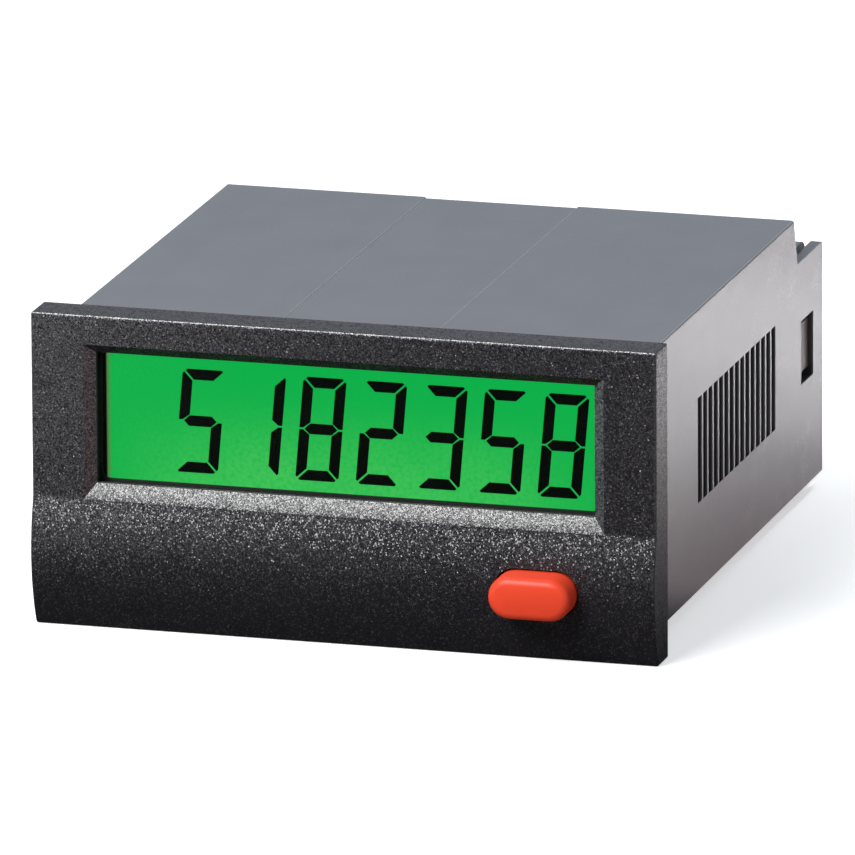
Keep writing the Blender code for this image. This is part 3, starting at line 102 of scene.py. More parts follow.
class Flow:
    """A number on a socket of a shader graph. Arithmetic on it adds Math nodes."""

    def __init__(self, graph: "Graph", socket: bpy.types.NodeSocket) -> None:
        """Wrap the output socket of a graph that carries the number."""
        self.graph = graph
        self.socket = socket

    def _math(self, operation: str, *values: "Flow | float") -> "Flow":
        """Add one Math node with these inputs."""
        return self.graph.node("ShaderNodeMath", {"operation": operation}, dict(enumerate(values)))

    def __add__(self, other: "Flow | float") -> "Flow":
        """Sum."""
        return self._math("ADD", self, other)

    __radd__ = __add__

    def __sub__(self, other: "Flow | float") -> "Flow":
        """Difference."""
        return self._math("SUBTRACT", self, other)

    def __rsub__(self, other: float) -> "Flow":
        """Difference with the number on the left."""
        return self._math("SUBTRACT", other, self)

    def __mul__(self, other: "Flow | float") -> "Flow":
        """Product."""
        return self._math("MULTIPLY", self, other)

    __rmul__ = __mul__

    def __truediv__(self, other: "Flow | float") -> "Flow":
        """Quotient."""
        return self._math("DIVIDE", self, other)

    def __abs__(self) -> "Flow":
        """Distance from zero."""
        return self._math("ABSOLUTE", self)

    def largest(self, other: "Flow | float") -> "Flow":
        """The larger of the two."""
        return self._math("MAXIMUM", self, other)

    def between(self, low: float, high: float) -> "Flow":
        """A smooth step from zero at the first value to one at the second, which may be the lower."""
        ends = {"Value": self, "From Min": low, "From Max": high}
        return self.graph.node("ShaderNodeMapRange", {"interpolation_type": "SMOOTHSTEP"}, ends)


class Tint(Flow):
    """A colour on a socket. It is changed by Mix nodes only."""

    def part(self, channel: str) -> Flow:
        """One of its channels: Red, Green or Blue."""
        return self.graph.node("ShaderNodeSeparateColor", {}, {0: self}, channel)

    def toward(self, other: "Tint | Colour", share: Flow | float) -> "Tint":
        """Mix this colour with a share of another."""
        return self.graph.blend(self, other, share)


class Arrow(Flow):
    """A vector on a socket. It is changed by Vector Math nodes only."""

    def _vector(self, operation: str, *values: "Arrow | Flow | tuple[float, ...]") -> "Arrow":
        """Add one Vector Math node with these inputs after the vector itself."""
        sockets = dict(enumerate((self, *values)))
        return self.graph.node("ShaderNodeVectorMath", {"operation": operation}, sockets)

    def __add__(self, other: "Arrow") -> "Arrow":
        """Sum."""
        return self._vector("ADD", other)

    def __mul__(self, other: "Arrow | Flow | float | tuple[float, ...]") -> "Arrow":
        """Stretch by a number, by three, or part by part."""
        factors = (other,) * 3 if isinstance(other, (int, float)) else other
        return self._vector("MULTIPLY", factors)

    def unit(self) -> "Arrow":
        """The same direction at length one."""
        return self._vector("NORMALIZE")

    def part(self, axis: str) -> Flow:
        """One of the vector's parts, by its letter."""
        return self.graph.node("ShaderNodeSeparateXYZ", {}, {0: self}, axis)


class Surface(Flow):
    """A shader on a socket."""


WRAPPERS = {"VALUE": Flow, "RGBA": Tint, "VECTOR": Arrow, "SHADER": Surface}


class Graph:
    """The node tree of one material or world."""

    def __init__(self, owner: "bpy.types.Material | bpy.types.World") -> None:
        """Clear the owner's nodes.

        Args:
            owner: the material or world to fill.
        """
        owner.use_nodes = True
        self.tree = owner.node_tree
        self.tree.nodes.clear()

    def node(
        self, kind: str, settings: Mapping[str, object], sockets: Mapping[str | int, object],
        output: str | int = 0,
    ) -> Flow:
        """Add a node of any kind.

        Args:
            kind: the node's type.
            settings: its properties by name, which are set first.
            sockets: values or links of its inputs, by name or number.
            output: the name or number of the output that is wanted.

        Returns:
            That output, wrapped by what it carries.
        """
        made = self.tree.nodes.new(kind)
        for name, setting in settings.items():
            setattr(made, name, setting)
        for name, value in sockets.items():
            socket = made.inputs[name]
            if isinstance(value, Flow):
                self.tree.links.new(value.socket, socket)
            elif socket.type == "RGBA" and len(value) == 3:
                socket.default_value = (*value, 1.0)
            else:
                socket.default_value = value
        if not made.outputs:
            return Surface(self, None)
        socket = made.outputs[output]
        return WRAPPERS[socket.type](self, socket)

    def blend(self, first: "Tint | Colour", second: "Tint | Colour", share: "Flow | float") -> Tint:
        """Mix two colours: the first at share 0, the second at share 1."""
        sockets = {"Factor": share, 6: first, 7: second}
        return self.node("ShaderNodeMix", {"data_type": "RGBA"}, sockets, 2)

    def coordinates(self, kind: Coordinates) -> Arrow:
        """The shaded point's coordinates of one kind."""
        return self.node("ShaderNodeTexCoord", {}, {}, kind.value)

    def place(self) -> Arrow:
        """The point on the object, in millimetres."""
        return self.coordinates(Coordinates.OBJECT) * PER_MILLIMETRE

    def facing(self) -> Arrow:
        """The direction that the surface faces, in the object's axes."""
        return self.coordinates(Coordinates.NORMAL)

    def noise(self, place: Arrow, scale: float, detail: float = 2.0, roughness: float = 0.5) -> Flow:
        """Soft noise from 0 to 1 about 0.5, with this many waves in a millimetre."""
        sockets = {"Vector": place, "Scale": scale, "Detail": detail, "Roughness": roughness}
        return self.node("ShaderNodeTexNoise", {}, sockets)

    def grains(self, place: Arrow, scale: float, reading: Cell) -> Flow:
        """Cells like the grains of an eroded mould, this many in a millimetre."""
        return self.node("ShaderNodeTexVoronoi", {}, {"Vector": place, "Scale": scale}, reading.value)

    def facets(self, place: Arrow, scale: float, tilt: "Flow | float") -> Arrow:
        """Lean the surface another way in each grain, as an eroded mould leaves it.

        Args:
            place: where to read the grains.
            scale: grains in a millimetre.
            tilt: how far a grain leans at most, as a slope.

        Returns:
            The lean, to be added to the surface's direction.
        """
        lots = self.grains(place, scale, Cell.LOT)
        doubled = {0: lots, 1: (2.0,) * 3, 2: (-1.0,) * 3}
        lean = self.node("ShaderNodeVectorMath", {"operation": "MULTIPLY_ADD"}, doubled)
        size = self.node("ShaderNodeVectorMath", {"operation": "ABSOLUTE"}, {0: lean})
        return lean * size * tilt

    def bump(self, height: Flow, depth: float) -> Arrow:
        """Turn a height from 0 to 1, whose 1 is this deep in metres, into a surface direction."""
        return self.node("ShaderNodeBump", {}, {"Height": height, "Distance": depth})

    def plastic(self, sockets: Mapping[str, object]) -> Surface:
        """A Principled shader with the given sockets."""
        return self.node("ShaderNodeBsdfPrincipled", {}, sockets)

    def show(self, surface: Surface, kind: str = "ShaderNodeOutputMaterial") -> None:
        """Lead a shader to the output."""
        self.node(kind, {}, {"Surface": surface})


@dataclass(frozen=True)
class Finish:
    """A finish of the counter, named for the record's material slot."""

    slot: str
    variant: str = ""

    def surface(self, graph: Graph) -> Surface:
        """Build the finish's shader in a graph."""
        raise NotImplementedError

    def material(self) -> bpy.types.Material:
        """The finish as a material, made once."""
        name = "finish_" + self.slot + self.variant
        ready = bpy.data.materials.get(name)
        if ready is None:
            ready = bpy.data.materials.new(name)
            graph = Graph(ready)
            graph.show(self.surface(graph))
        return ready


@dataclass(frozen=True)
class SparkleGrain(Finish):
    """The bezel's dark moulding: spark-eroded grain whose facets glint.

    A lot is a grain's random number from 0 to 1, and a rise is how far a surface faces up.
    """

    base: Colour = (0.0055, 0.0050, 0.0066)
    cloud_scale: float = 0.35
    cloud_gain: float = 2.2
    grain_scale: float = 12.0
    fine_scale: float = 15.6
    # Pale grains: partly the moulding's own grain, partly painted glints of its facets.
    fleck_and_glint: Colour = (0.10, 0.095, 0.105)
    fleck_and_glint_lots: Band = (0.86, 1.0)
    fleck_and_glint_share: float = 0.5
    dust: Colour = (0.10, 0.086, 0.072)
    dust_rise: Band = (0.85, 0.95)
    dust_lots: Band = (0.5, 1.0)
    dust_share: float = 0.22
    clot_scale: float = 5.0
    clot_band: Band = (0.42, 0.62)
    clot_share: float = 0.34
    # A painted highlight: pale colour on upturned, forward-facing slopes and edges, standing for the front
    # lamp's light on the grain.
    painted_highlight: Colour = (0.62, 0.62, 0.60)
    painted_highlight_rise: Band = (0.34, 0.6)
    painted_highlight_front: Band = (0.3, 0.5)
    painted_highlight_fine: Band = (0.40, 0.58)
    painted_highlight_heights: Band = (9.75, 10.70)
    # Painted light: tints on the window's forward-facing side slopes for the light they catch, reddish on the
    # left slope and grey on the right.
    left_flank_painted_light: Colour = (0.085, 0.058, 0.060)
    right_flank_painted_light: Colour = (0.075, 0.088, 0.088)
    flank_reach: Band = (23.4, 23.2)
    flank_turn: Band = (0.3, 0.5)
    flank_lots: Band = (0.2, 0.9)
    tilt: float = 0.34
    tilt_rise: Band = (0.05, 0.3)
    upturned_tilt: float = 0.42
    clot_tilt: float = 0.40
    roughness: float = 0.29
    roughness_spread: float = 0.2
    shine: float = 0.60
    scuff_turn: Band = (0.8, 0.95)
    scuff_heights: Band = (21.0, 5.0)
    scuff_gain: float = 0.3
    inner_depths: Band = (-24.78, -24.72)
    inner_reach: Band = (23.5, 23.4)

    def colour(self, graph: Graph, place: Arrow, facing: Arrow, fine: Flow) -> Tint:
        """Dark plastic with pale grains, partly painted glints, dust on top, and painted light on slopes and
        edges.

        Args:
            graph: the graph to build in.
            place: the point in millimetres.
            facing: the direction that the surface faces.
            fine: fine noise.

        Returns:
            The colour.
        """
        upward = facing.part("Z")
        forward = 0 - facing.part("Y")
        lot = graph.grains(place, self.grain_scale, Cell.LOT).part("Red")
        cloud = graph.noise(place, self.cloud_scale, 3.0)
        colour = graph.blend(self.base, scaled(self.base, self.cloud_gain), cloud)
        # Pale grains, partly painted glints.
        colour = colour.toward(self.fleck_and_glint, lot.between(*self.fleck_and_glint_lots) * self.fleck_and_glint_share)
        clots = graph.noise(place, self.clot_scale, 2.0, 0.7).between(*self.clot_band)
        dusty = clots * self.clot_share + lot.between(*self.dust_lots) * self.dust_share
        colour = colour.toward(self.dust, upward.between(*self.dust_rise) * dusty)
        # Painted light on the window's side slopes, one tint for each side.
        flank = abs(place.part("X")).between(*self.flank_reach) * forward.between(*self.flank_turn)
        for side, tint in ((1, self.left_flank_painted_light), (-1, self.right_flank_painted_light)):
            turned = (side * facing.part("X")).between(*self.flank_turn)
            colour = colour.toward(tint, flank * turned * lot.between(*self.flank_lots))
        # Painted highlight on upturned front edges and the window's lower bevel, faded out below the bevel.
        edge = upward.between(*self.painted_highlight_rise) * forward.between(*self.painted_highlight_front)
        soft_foot = place.part("Z").between(*self.painted_highlight_heights)
        return colour.toward(self.painted_highlight, edge * fine.between(*self.painted_highlight_fine) * soft_foot)

    def leaning(self, graph: Graph, place: Arrow, upward: Flow) -> Arrow:
        """Lean each grain its own way, and on top coarser clots too.

        Args:
            graph: the graph to build in.
            place: the point in millimetres.
            upward: how far the surface faces up.

        Returns:
            The surface's direction.
        """
        straight = graph.node("ShaderNodeNewGeometry", {}, {}, "Normal")
        tilt = self.tilt + upward.between(*self.tilt_rise) * (self.upturned_tilt - self.tilt)
        fine_lean = graph.facets(place, self.grain_scale, tilt)
        coarse_lean = graph.facets(place, self.clot_scale, upward.between(*self.dust_rise) * self.clot_tilt)
        return (straight + fine_lean + coarse_lean).unit()

    def inside(self, place: Arrow) -> Flow:
        """Where the moulding lies behind its frame, which is dull.

        Args:
            place: the point in millimetres.

        Returns:
            One inside and zero elsewhere.
        """
        inside = place.part("Y").between(*self.inner_depths)
        for axis in "XZ":
            inside = inside * abs(place.part(axis)).between(*self.inner_reach)
        return inside

    def surface(self, graph: Graph) -> Surface:
        """Grains lean each their own way, pale grains are partly painted glints, and upturned edges get a
        painted highlight.

        Args:
            graph: the graph to build in.

        Returns:
            The shader.
        """
        place = graph.place()
        facing = graph.facing()
        fine = graph.noise(place, self.fine_scale, 1.0)
        sideways = abs(facing.part("X")).between(*self.scuff_turn)
        scuffed = sideways * place.part("Z").between(*self.scuff_heights)
        roughness = self.roughness + self.roughness_spread * (fine - 0.5) + self.scuff_gain * scuffed
        return graph.plastic({
            "Base Color": self.colour(graph, place, facing, fine),
            "Roughness": roughness.largest(self.inside(place)),
            "Specular IOR Level": self.shine,
            "Normal": self.leaning(graph, place, facing.part("Z")),
        })


@dataclass(frozen=True)
class SatinMoulding(Finish):
    """Smooth satin plastic with faint mottling and flow streaks along the moulding.

    Sideways edges above the highlight height carry a pale painted highlight. Between two depths behind
    the groove face it is darkened by painted shade, and from the hook's depth outwards it has the
    hook's tint. A face at 0 stands for none.
    """

    base: Colour = (0.143, 0.151, 0.162)
    mottle: float = 0.06
    mottle_band: Band = (0.3, 0.7)
    mottle_weights: tuple[float, float, float] = (0.5, 0.3, 0.2)
    cloud_scale: float = 0.18
    streak: tuple[float, float, float] = (0.25, 0.02, 0.25)
    streak_scale: float = 1.6
    fine_scale: float = 5.0
    skin_scale: float = 14.0
    # A painted highlight: pale colour on sideways faces above a height, along the top's long edges.
    edge_highlight: Colour = (0.48, 0.48, 0.47)
    edge_highlight_turn: Band = (0.3, 0.6)
    edge_highlight_height: float = 1000.0
    edge_highlight_rise: float = 0.04
    edge_highlight_share: float = 0.8
    groove_face: float = 0.0
    groove_mouth: Band = (0.04, 0.2)
    groove_floor: Band = (2.2, 1.8)
    groove_heights: Band = (19.5, 19.0)
    # Painted shade: the colour that darkens the rack's grooves.
    groove_painted_shade: Colour = (0.01, 0.01, 0.01)
    groove_shade: float = 0.85
    hook_face: float = 0.0
    hook_depths: Band = (0.25, 0.10)
    hook_tint: Colour = (0.17, 0.135, 0.120)
    roughness: float = 0.14
    sheen_spread: tuple[float, float] = (0.05, 0.06)
    shine: float = 1.0
    skin_depth: float = 0.000001

    def colour(self, graph: Graph, place: Arrow, share: Flow) -> Tint:
        """The mottled colour, with painted highlights on edges, painted shade in grooves and the tinted hook.

        Args:
            graph: the graph to build in.
            place: the point in millimetres.
            share: the mottling, from 0 to 1.

        Returns:
            The colour.
        """
        across = abs(place.part("X"))
        height = place.part("Z")
        # Painted highlight on sideways faces above the highlight height.
        sideways = abs(graph.facing().part("X")).between(*self.edge_highlight_turn)
        edge = sideways * height.between(self.edge_highlight_height, self.edge_highlight_height + self.edge_highlight_rise)
        colour = graph.blend(
            scaled(self.base, 1 - self.mottle), scaled(self.base, 1 + self.mottle),
            share.between(*self.mottle_band),
        )
        colour = colour.toward(self.edge_highlight, edge * self.edge_highlight_share)
        # Painted shade in the rack's grooves, between two depths behind the groove face.
        if self.groove_face:
            sunk = across.between(*(self.groove_face - depth for depth in self.groove_mouth))
            sunk = sunk * across.between(*(self.groove_face - depth for depth in self.groove_floor))
            sunk = sunk * height.between(*self.groove_heights)
            colour = colour.toward(self.groove_painted_shade, sunk * self.groove_shade)
        if self.hook_face:
            hook = across.between(*(self.hook_face - depth for depth in self.hook_depths))
            colour = colour.toward(self.hook_tint, hook)
        return colour

    def surface(self, graph: Graph) -> Surface:
        """Mottled colour, a slightly uneven sheen and a fine moulded skin.

        Args:
            graph: the graph to build in.

        Returns:
            The shader.
        """
        place = graph.place()
        cloud = graph.noise(place, self.cloud_scale, 3.0)
        streaks = graph.noise(place * self.streak, self.streak_scale, 2.0)
        fine = graph.noise(place, self.fine_scale, 3.0)
        by_cloud, by_streak, by_fine = self.mottle_weights
        cloud_sheen, fine_sheen = self.sheen_spread
        skin = fine * 0.5 + graph.noise(place, self.skin_scale, 2.0)
        return graph.plastic({
            "Base Color": self.colour(graph, place, by_cloud * cloud + by_streak * streaks + by_fine * fine),
            "Roughness": self.roughness + cloud_sheen * (cloud - 0.5) + fine_sheen * (fine - 0.5),
            "Specular IOR Level": self.shine,
            "Normal": graph.bump(skin, self.skin_depth),
        })


@dataclass(frozen=True)
class ClearPane(Finish):
    """A clear moulded pane that reflects a little more at a glancing angle."""

    index: float = 1.10
    roughness: float = 0.03
    film: Colour = (0.97, 1.0, 0.98)

    def surface(self, graph: Graph) -> Surface:
        """Transparent plastic under a faint gloss.

        Args:
            graph: the graph to build in.

        Returns:
            The shader.
        """
        clear = graph.node("ShaderNodeBsdfTransparent", {}, {"Color": self.film})
        gloss = graph.node("ShaderNodeBsdfGlossy", {}, {"Roughness": self.roughness})
        share = graph.node("ShaderNodeFresnel", {}, {"IOR": self.index})
        return graph.node("ShaderNodeMixShader", {}, {0: share, 1: clear, 2: gloss})


@dataclass(frozen=True)
class LitDisplay(Finish):
    """The lit green field of the display, whose raised segments stay dark.

    Places along the field are measured from the window's left end, and across and rise are shares of
    the window's width and height. Near the left end a painted shadow of the window's inner wall
    darkens the field.
    """

    window: tuple[Vector, Vector] = (Vector(), Vector())
    glass_front: float = 0.0
    green: Colour = (0.004, 0.43, 0.070)
    pale: Colour = (0.055, 0.54, 0.10)
    pale_rise: Band = (0.75, 0.0)
    pale_across: Band = (0.55, 0.2)
    cloud_scale: float = 0.22
    cloud_floor: float = 0.4
    cloud_gain: float = 1.1
    mesh_scale: float = 3.0
    mesh_band: Band = (0.35, 0.75)
    mesh_share: float = 0.5
    # Painted shadow of the window's left inner wall: a dim rim that deepens to the ink colour at the field's
    # left end.
    rim_shade: Colour = (0.10, 0.16, 0.06)
    rim_shade_places: Band = (1.10, 0.72)
    rim_shade_share: float = 0.8
    ink_and_wall_shadow: Colour = (0.001, 0.0014, 0.001)
    # Where the painted wall shadow reaches the full ink colour.
    wall_shadow_places: Band = (0.75, 0.61)
    segment_depths: Band = (0.015, 0.035)
    roughness: float = 0.45
    shine: float = 0.04

    def surface(self, graph: Graph) -> Surface:
        """Emission that is paler low in the middle and darkens into a painted shadow at the window's left
        end.

        Args:
            graph: the graph to build in.

        Returns:
            The shader.
        """
        place = graph.place()
        low, high = (corner * PER_MILLIMETRE for corner in self.window)
        middle = (low + high) / 2
        x, y, z = (place.part(axis) for axis in "XYZ")
        rise = (z - low.z) / (high.z - low.z)
        across = abs(x - middle.x) / (high.x - low.x)
        cloud = self.cloud_floor + graph.noise(place, self.cloud_scale, 3.0) * self.cloud_gain
        paleness = rise.between(*self.pale_rise) * across.between(*self.pale_across) * cloud
        mesh = graph.noise(place, self.mesh_scale, 1.0).between(*self.mesh_band)
        colour = graph.blend(self.green, self.pale, paleness).toward(self.green, mesh * self.mesh_share)
        # Painted shadow at the window's left end, where the inner wall shades the field.
        rim_shade = x.between(*(low.x + along for along in self.rim_shade_places))
        ink_and_wall_shadow = x.between(*(low.x + along for along in self.wall_shadow_places))
        face = self.glass_front * PER_MILLIMETRE
        segment = y.between(*(face - depth for depth in self.segment_depths))
        colour = colour.toward(self.rim_shade, rim_shade * self.rim_shade_share).toward(self.ink_and_wall_shadow, ink_and_wall_shadow).toward(self.ink_and_wall_shadow, segment)
        return graph.plastic({
            "Base Color": self.ink_and_wall_shadow, "Roughness": self.roughness, "Specular IOR Level": self.shine,
            "Emission Color": colour, "Emission Strength": 1.0,
        })


@dataclass(frozen=True)
class ClearMoulding(Finish):
    """Clear or hazy material inside the display."""

    tint: Colour = (0.8, 0.9, 0.82)
    cloud_shade: float = 0.85
    cloud_scale: float = 0.8
    haze: float = 0.5
    roughness: float = 0.15

    def surface(self, graph: Graph) -> Surface:
        """Hazy plastic over a transparent body.

        Args:
            graph: the graph to build in.

        Returns:
            The shader.
        """
        place = graph.place()
        cloud = graph.noise(place, self.cloud_scale, 2.0)
        body = graph.plastic({
            "Base Color": graph.blend(self.tint, scaled(self.tint, self.cloud_shade), cloud),
            "Roughness": self.roughness + self.roughness * cloud,
        })
        clear = graph.node("ShaderNodeBsdfTransparent", {}, {"Color": self.tint})
        return graph.node("ShaderNodeMixShader", {}, {0: self.haze, 1: clear, 2: body})


@dataclass(frozen=True)
class StripedRubber(Finish):
    """Silicone rubber with thin conducting layers across its length."""

    rubber: Colour = (0.55, 0.40, 0.35)
    carbon: Colour = (0.02, 0.02, 0.022)
    pitch: float = 0.18
    layer_band: Band = (0.4, 0.6)
    roughness: float = 0.75
    roughness_spread: float = 0.1

    def surface(self, graph: Graph) -> Surface:
        """Layers side by side, soft and matt.

        Args:
            graph: the graph to build in.

        Returns:
            The shader.
        """
        place = graph.place()
        bands = {"wave_type": "BANDS", "bands_direction": "X", "wave_profile": "SIN"}
        sockets = {"Vector": place, "Scale": WAVE_LENGTH / self.pitch}
        wave = graph.node("ShaderNodeTexWave", bands, sockets, "Fac")
        return graph.plastic({
            "Base Color": graph.blend(self.carbon, self.rubber, wave.between(*self.layer_band)),
            "Roughness": self.roughness + self.roughness_spread * wave,
        })


@dataclass(frozen=True)
class SolderResist(Finish):
    """Green resist over glass laminate, paler where copper lies under it."""

    resist: Colour = (0.02, 0.16, 0.06)
    over_copper: Colour = (0.03, 0.26, 0.09)
    track_scale: float = 0.45
    track_band: Band = (0.45, 0.5)
    track_share: float = 0.6
    weave_scale: float = 2.5
    weave_share: float = 0.3
    relief: float = 0.00001
    roughness: float = 0.35
    roughness_spread: float = 0.2

    def surface(self, graph: Graph) -> Surface:
        """Tracks as soft cells under a glossy coat, and the weave of the laminate.

        Args:
            graph: the graph to build in.

        Returns:
            The shader.
        """
        place = graph.place()
        tracks = graph.grains(place, self.track_scale, Cell.DISTANCE).between(*self.track_band)
        weave = graph.noise(place, self.weave_scale, 2.0)
        woven = weave * self.weave_share
        return graph.plastic({
            "Base Color": graph.blend(self.resist, self.over_copper, tracks * self.track_share + woven),
            "Roughness": self.roughness + self.roughness_spread * weave,
            "Normal": graph.bump(tracks + woven, self.relief),
        })


@dataclass(frozen=True)
class PlatedMetal(Finish):
    """Drawn or turned metal under a thin plating."""

    bright: Colour = (0.62, 0.62, 0.60)
    dull: Colour = (0.42, 0.42, 0.42)
    roughness: float = 0.3
    drawing: tuple[float, float, float] = (1.0, 1.0, 12.0)
    line_scale: float = 3.0
    line_depth: float = 0.000003
    line_haze: float = 0.08
    patch_scale: float = 0.9
    patch_band: Band = (0.3, 0.6)
    patch_haze: float = 0.18

    def surface(self, graph: Graph) -> Surface:
        """Fine drawn lines with duller patches.

        Args:
            graph: the graph to build in.

        Returns:
            The shader.
        """
        place = graph.place()
        lines = graph.noise(place * self.drawing, self.line_scale, 2.0)
        patch = graph.noise(place, self.patch_scale, 3.0)
        return graph.plastic({
            "Base Color": graph.blend(self.dull, self.bright, patch.between(*self.patch_band)),
            "Metallic": 1.0,
            "Roughness": self.roughness + self.patch_haze * (1 - patch) + self.line_haze * lines,
            "Normal": graph.bump(lines, self.line_depth),
        })


@dataclass(frozen=True)
class GlossMoulding(Finish):
    """Small glossy moulded or sleeved pieces."""

    base: Colour = (0.1, 0.25, 0.45)
    roughness: float = 0.25
    roughness_spread: float = 0.2
    glow: float = 0.0
    cloud_scale: float = 0.7
    cloud_shade: float = 0.75
    skin_scale: float = 3.0
    skin_depth: float = 0.000008

    def surface(self, graph: Graph) -> Surface:
        """Slightly uneven gloss.

        Args:
            graph: the graph to build in.

        Returns:
            The shader.
        """
        place = graph.place()
        cloud = graph.noise(place, self.cloud_scale, 3.0)
        colour = graph.blend(self.base, scaled(self.base, self.cloud_shade), cloud)
        return graph.plastic({
            "Base Color": colour, "Roughness": self.roughness + self.roughness_spread * cloud,
            "Emission Color": colour, "Emission Strength": self.glow,
            "Normal": graph.bump(graph.noise(place, self.skin_scale, 2.0), self.skin_depth),
        })


@dataclass(frozen=True)
class StageFinish:
    """The pale floor and surroundings, as rays of each kind meet them.

    The camera and what it sees through glass meet a white floor that keeps the counter's soft shadow.
    Glossy surfaces mirror that white too, but a dark floor close in front of the counter and beside
    it. What floor and surroundings throw back as soft light is set by itself. The edges are where the
    mirrored floor turns pale, in metres.
    """

    seen_floor: Colour = (0.80, 0.80, 0.80)
    near_floor: Colour = (0.05, 0.05, 0.05)
    near_edge: tuple[float, float] = (-0.014, 0.000)
    left_edge: tuple[float, float] = (-0.028, -0.052)
    right_edge: tuple[float, float] = (0.022, 0.036)
    front_edge: tuple[float, float] = (-0.034, -0.042)
    bounce: Colour = (0.30, 0.27, 0.24)
    camera_lift: float = 0.55
    mirror_lift: float = 0.20
    camera_tint: Colour = (1.0, 1.0, 1.0)
    mirror_tint: Colour = (1.0, 0.62, 0.52)
    air: Colour = (0.30, 0.34, 0.39)
    dusk: Colour = (0.12, 0.13, 0.15)
    mirrored_air: Colour = (0.36, 0.39, 0.45)
    seen_air: Colour = (0.95, 0.96, 0.97)
    low_sky: Band = (0.45, 0.15)
    front_sky: Band = (0.1, -0.5)

    @staticmethod
    def rays(graph: Graph) -> tuple[Flow, Flow]:
        """One for camera and transmission rays, and one for glossy rays."""
        camera, glossy, through = (graph.node("ShaderNodeLightPath", {}, {}, ray.value) for ray in Ray)
        return camera.largest(through), glossy

    def floor(self) -> bpy.types.Material:
        """Build the floor's material.

        Returns:
            The material.
        """
        made = bpy.data.materials.new("stage_floor")
        graph = Graph(made)
        direct, glossy = self.rays(graph)
        spot = graph.coordinates(Coordinates.OBJECT)
        across = spot.part("X")
        depth = spot.part("Y")
        sides = across.between(*self.left_edge).largest(across.between(*self.right_edge))
        pale = depth.between(*self.near_edge).largest(sides * depth.between(*self.front_edge))
        mirrored = graph.blend(self.near_floor, self.seen_floor, pale)
        colour = graph.blend(graph.blend(self.bounce, mirrored, glossy), self.seen_floor, direct)
        shade = graph.node("ShaderNodeBsdfDiffuse", {}, {"Color": colour})
        strength = direct * self.camera_lift + glossy * pale * self.mirror_lift
        tint = graph.blend(self.camera_tint, self.mirror_tint, glossy)
        lift = graph.node("ShaderNodeEmission", {}, {"Color": tint, "Strength": strength})
        graph.show(graph.node("ShaderNodeAddShader", {}, {0: shade, 1: lift}))
        return made

    def surroundings(self) -> None:
        """Light the counter softly from all round, less from low in front."""
        world = bpy.data.worlds.new("stage_world")
        bpy.context.scene.world = world
        graph = Graph(world)
        way = graph.coordinates(Coordinates.ALL_ROUND)
        low_front = way.part("Z").between(*self.low_sky) * way.part("Y").between(*self.front_sky)
        direct, glossy = self.rays(graph)
        open_air = graph.blend(self.air, self.mirrored_air, glossy)
        colour = graph.blend(graph.blend(open_air, self.dusk, low_front), self.seen_air, direct)
        light = graph.node("ShaderNodeBackground", {}, {"Color": colour, "Strength": 1.0})
        graph.show(light, "ShaderNodeOutputWorld")


def outward(azimuth: float, elevation: float) -> Vector:
    """The direction from the counter at angles in degrees, from straight in front and from level.

    Args:
        azimuth: the angle round to the right.
        elevation: the angle up.

    Returns:
        The direction, at length one.
    """
    turn = math.radians(azimuth)
    rise = math.radians(elevation)
    return Vector((math.sin(turn) * math.cos(rise), -math.cos(turn) * math.cos(rise), math.sin(rise)))


@dataclass(frozen=True)
class SoftBox:
    """A soft lamp that looks at its aim. Angles are in degrees and lengths in metres."""

    name: str
    azimuth: float
    elevation: float
    distance: float
    width: float
    height: float
    level: float
    colour: Colour = (1.0, 1.0, 1.0)
    spread: float = 180.0
    aim: tuple[float, float, float] = (0.0, 0.0, 0.012)

    def gain(self) -> float:
        """How much a narrow beam brightens its middle."""
        half = math.radians(self.spread) / 2
        return math.tan(half) / (math.tan(half) - half)

    def build(self) -> bpy.types.Object:
        """Set the lamp up.

        Returns:
            The lamp. At its level, a white card at the aim that faces it shows that brightness.
        """
        lamp = bpy.data.lights.new(self.name, "AREA")
        lamp.shape = "RECTANGLE"
        lamp.size = self.width
        lamp.size_y = self.height
        lamp.color = self.colour
        lamp.energy = self.level * (math.pi * self.distance) ** 2 / self.gain()
        lamp.spread = math.radians(self.spread)
        away = outward(self.azimuth, self.elevation)
        holder = bpy.data.objects.new(self.name, lamp)
        holder.location = Vector(self.aim) + away * self.distance
        holder.rotation_euler = away.to_track_quat("Z", "Y").to_euler()
        holder.visible_camera = False
        bpy.context.scene.collection.objects.link(holder)
        return holder


@dataclass(frozen=True)
class CameraStand:
    """The camera at the photo's angle, worked out from the counter's corners.

    Angles are in degrees. The distance, the shifts and the target are in metres, the focal length is
    in the photo's pixels and the sensor in millimetres.
    """

    yaw: float = 16.13
    pitch: float = 14.83
    roll: float = -0.33
    distance: float = 1.3647
    focal_pixels: float = 18240.0
    sideways: float = -0.00073
    upwards: float = 0.00034
    target: tuple[float, float, float] = (0.0, -0.00535, 0.012)
    sensor: float = 36.0

    def build(self) -> bpy.types.Object:
        """Stand the camera up and make it the scene's own.

        Returns:
            The camera.
        """
        turn = math.radians(self.yaw)
        lean = math.radians(self.roll)
        back = outward(self.yaw, self.pitch)
        level = Vector((math.cos(turn), math.sin(turn), 0.0))
        upright = back.cross(level)
        right = math.cos(lean) * level + math.sin(lean) * upright
        up = math.cos(lean) * upright - math.sin(lean) * level
        lens = bpy.data.cameras.new("photo_camera")
        lens.sensor_width = self.sensor
        lens.lens = self.focal_pixels * self.sensor / PHOTO_WIDTH
        holder = bpy.data.objects.new("photo_camera", lens)
        place = Vector(self.target) + back * self.distance - right * self.sideways - up * self.upwards
        axes = Matrix((right, up, back)).transposed()
        holder.matrix_world = Matrix.Translation(place) @ axes.to_4x4()
        bpy.context.scene.collection.objects.link(holder)
        bpy.context.scene.camera = holder
        return holder


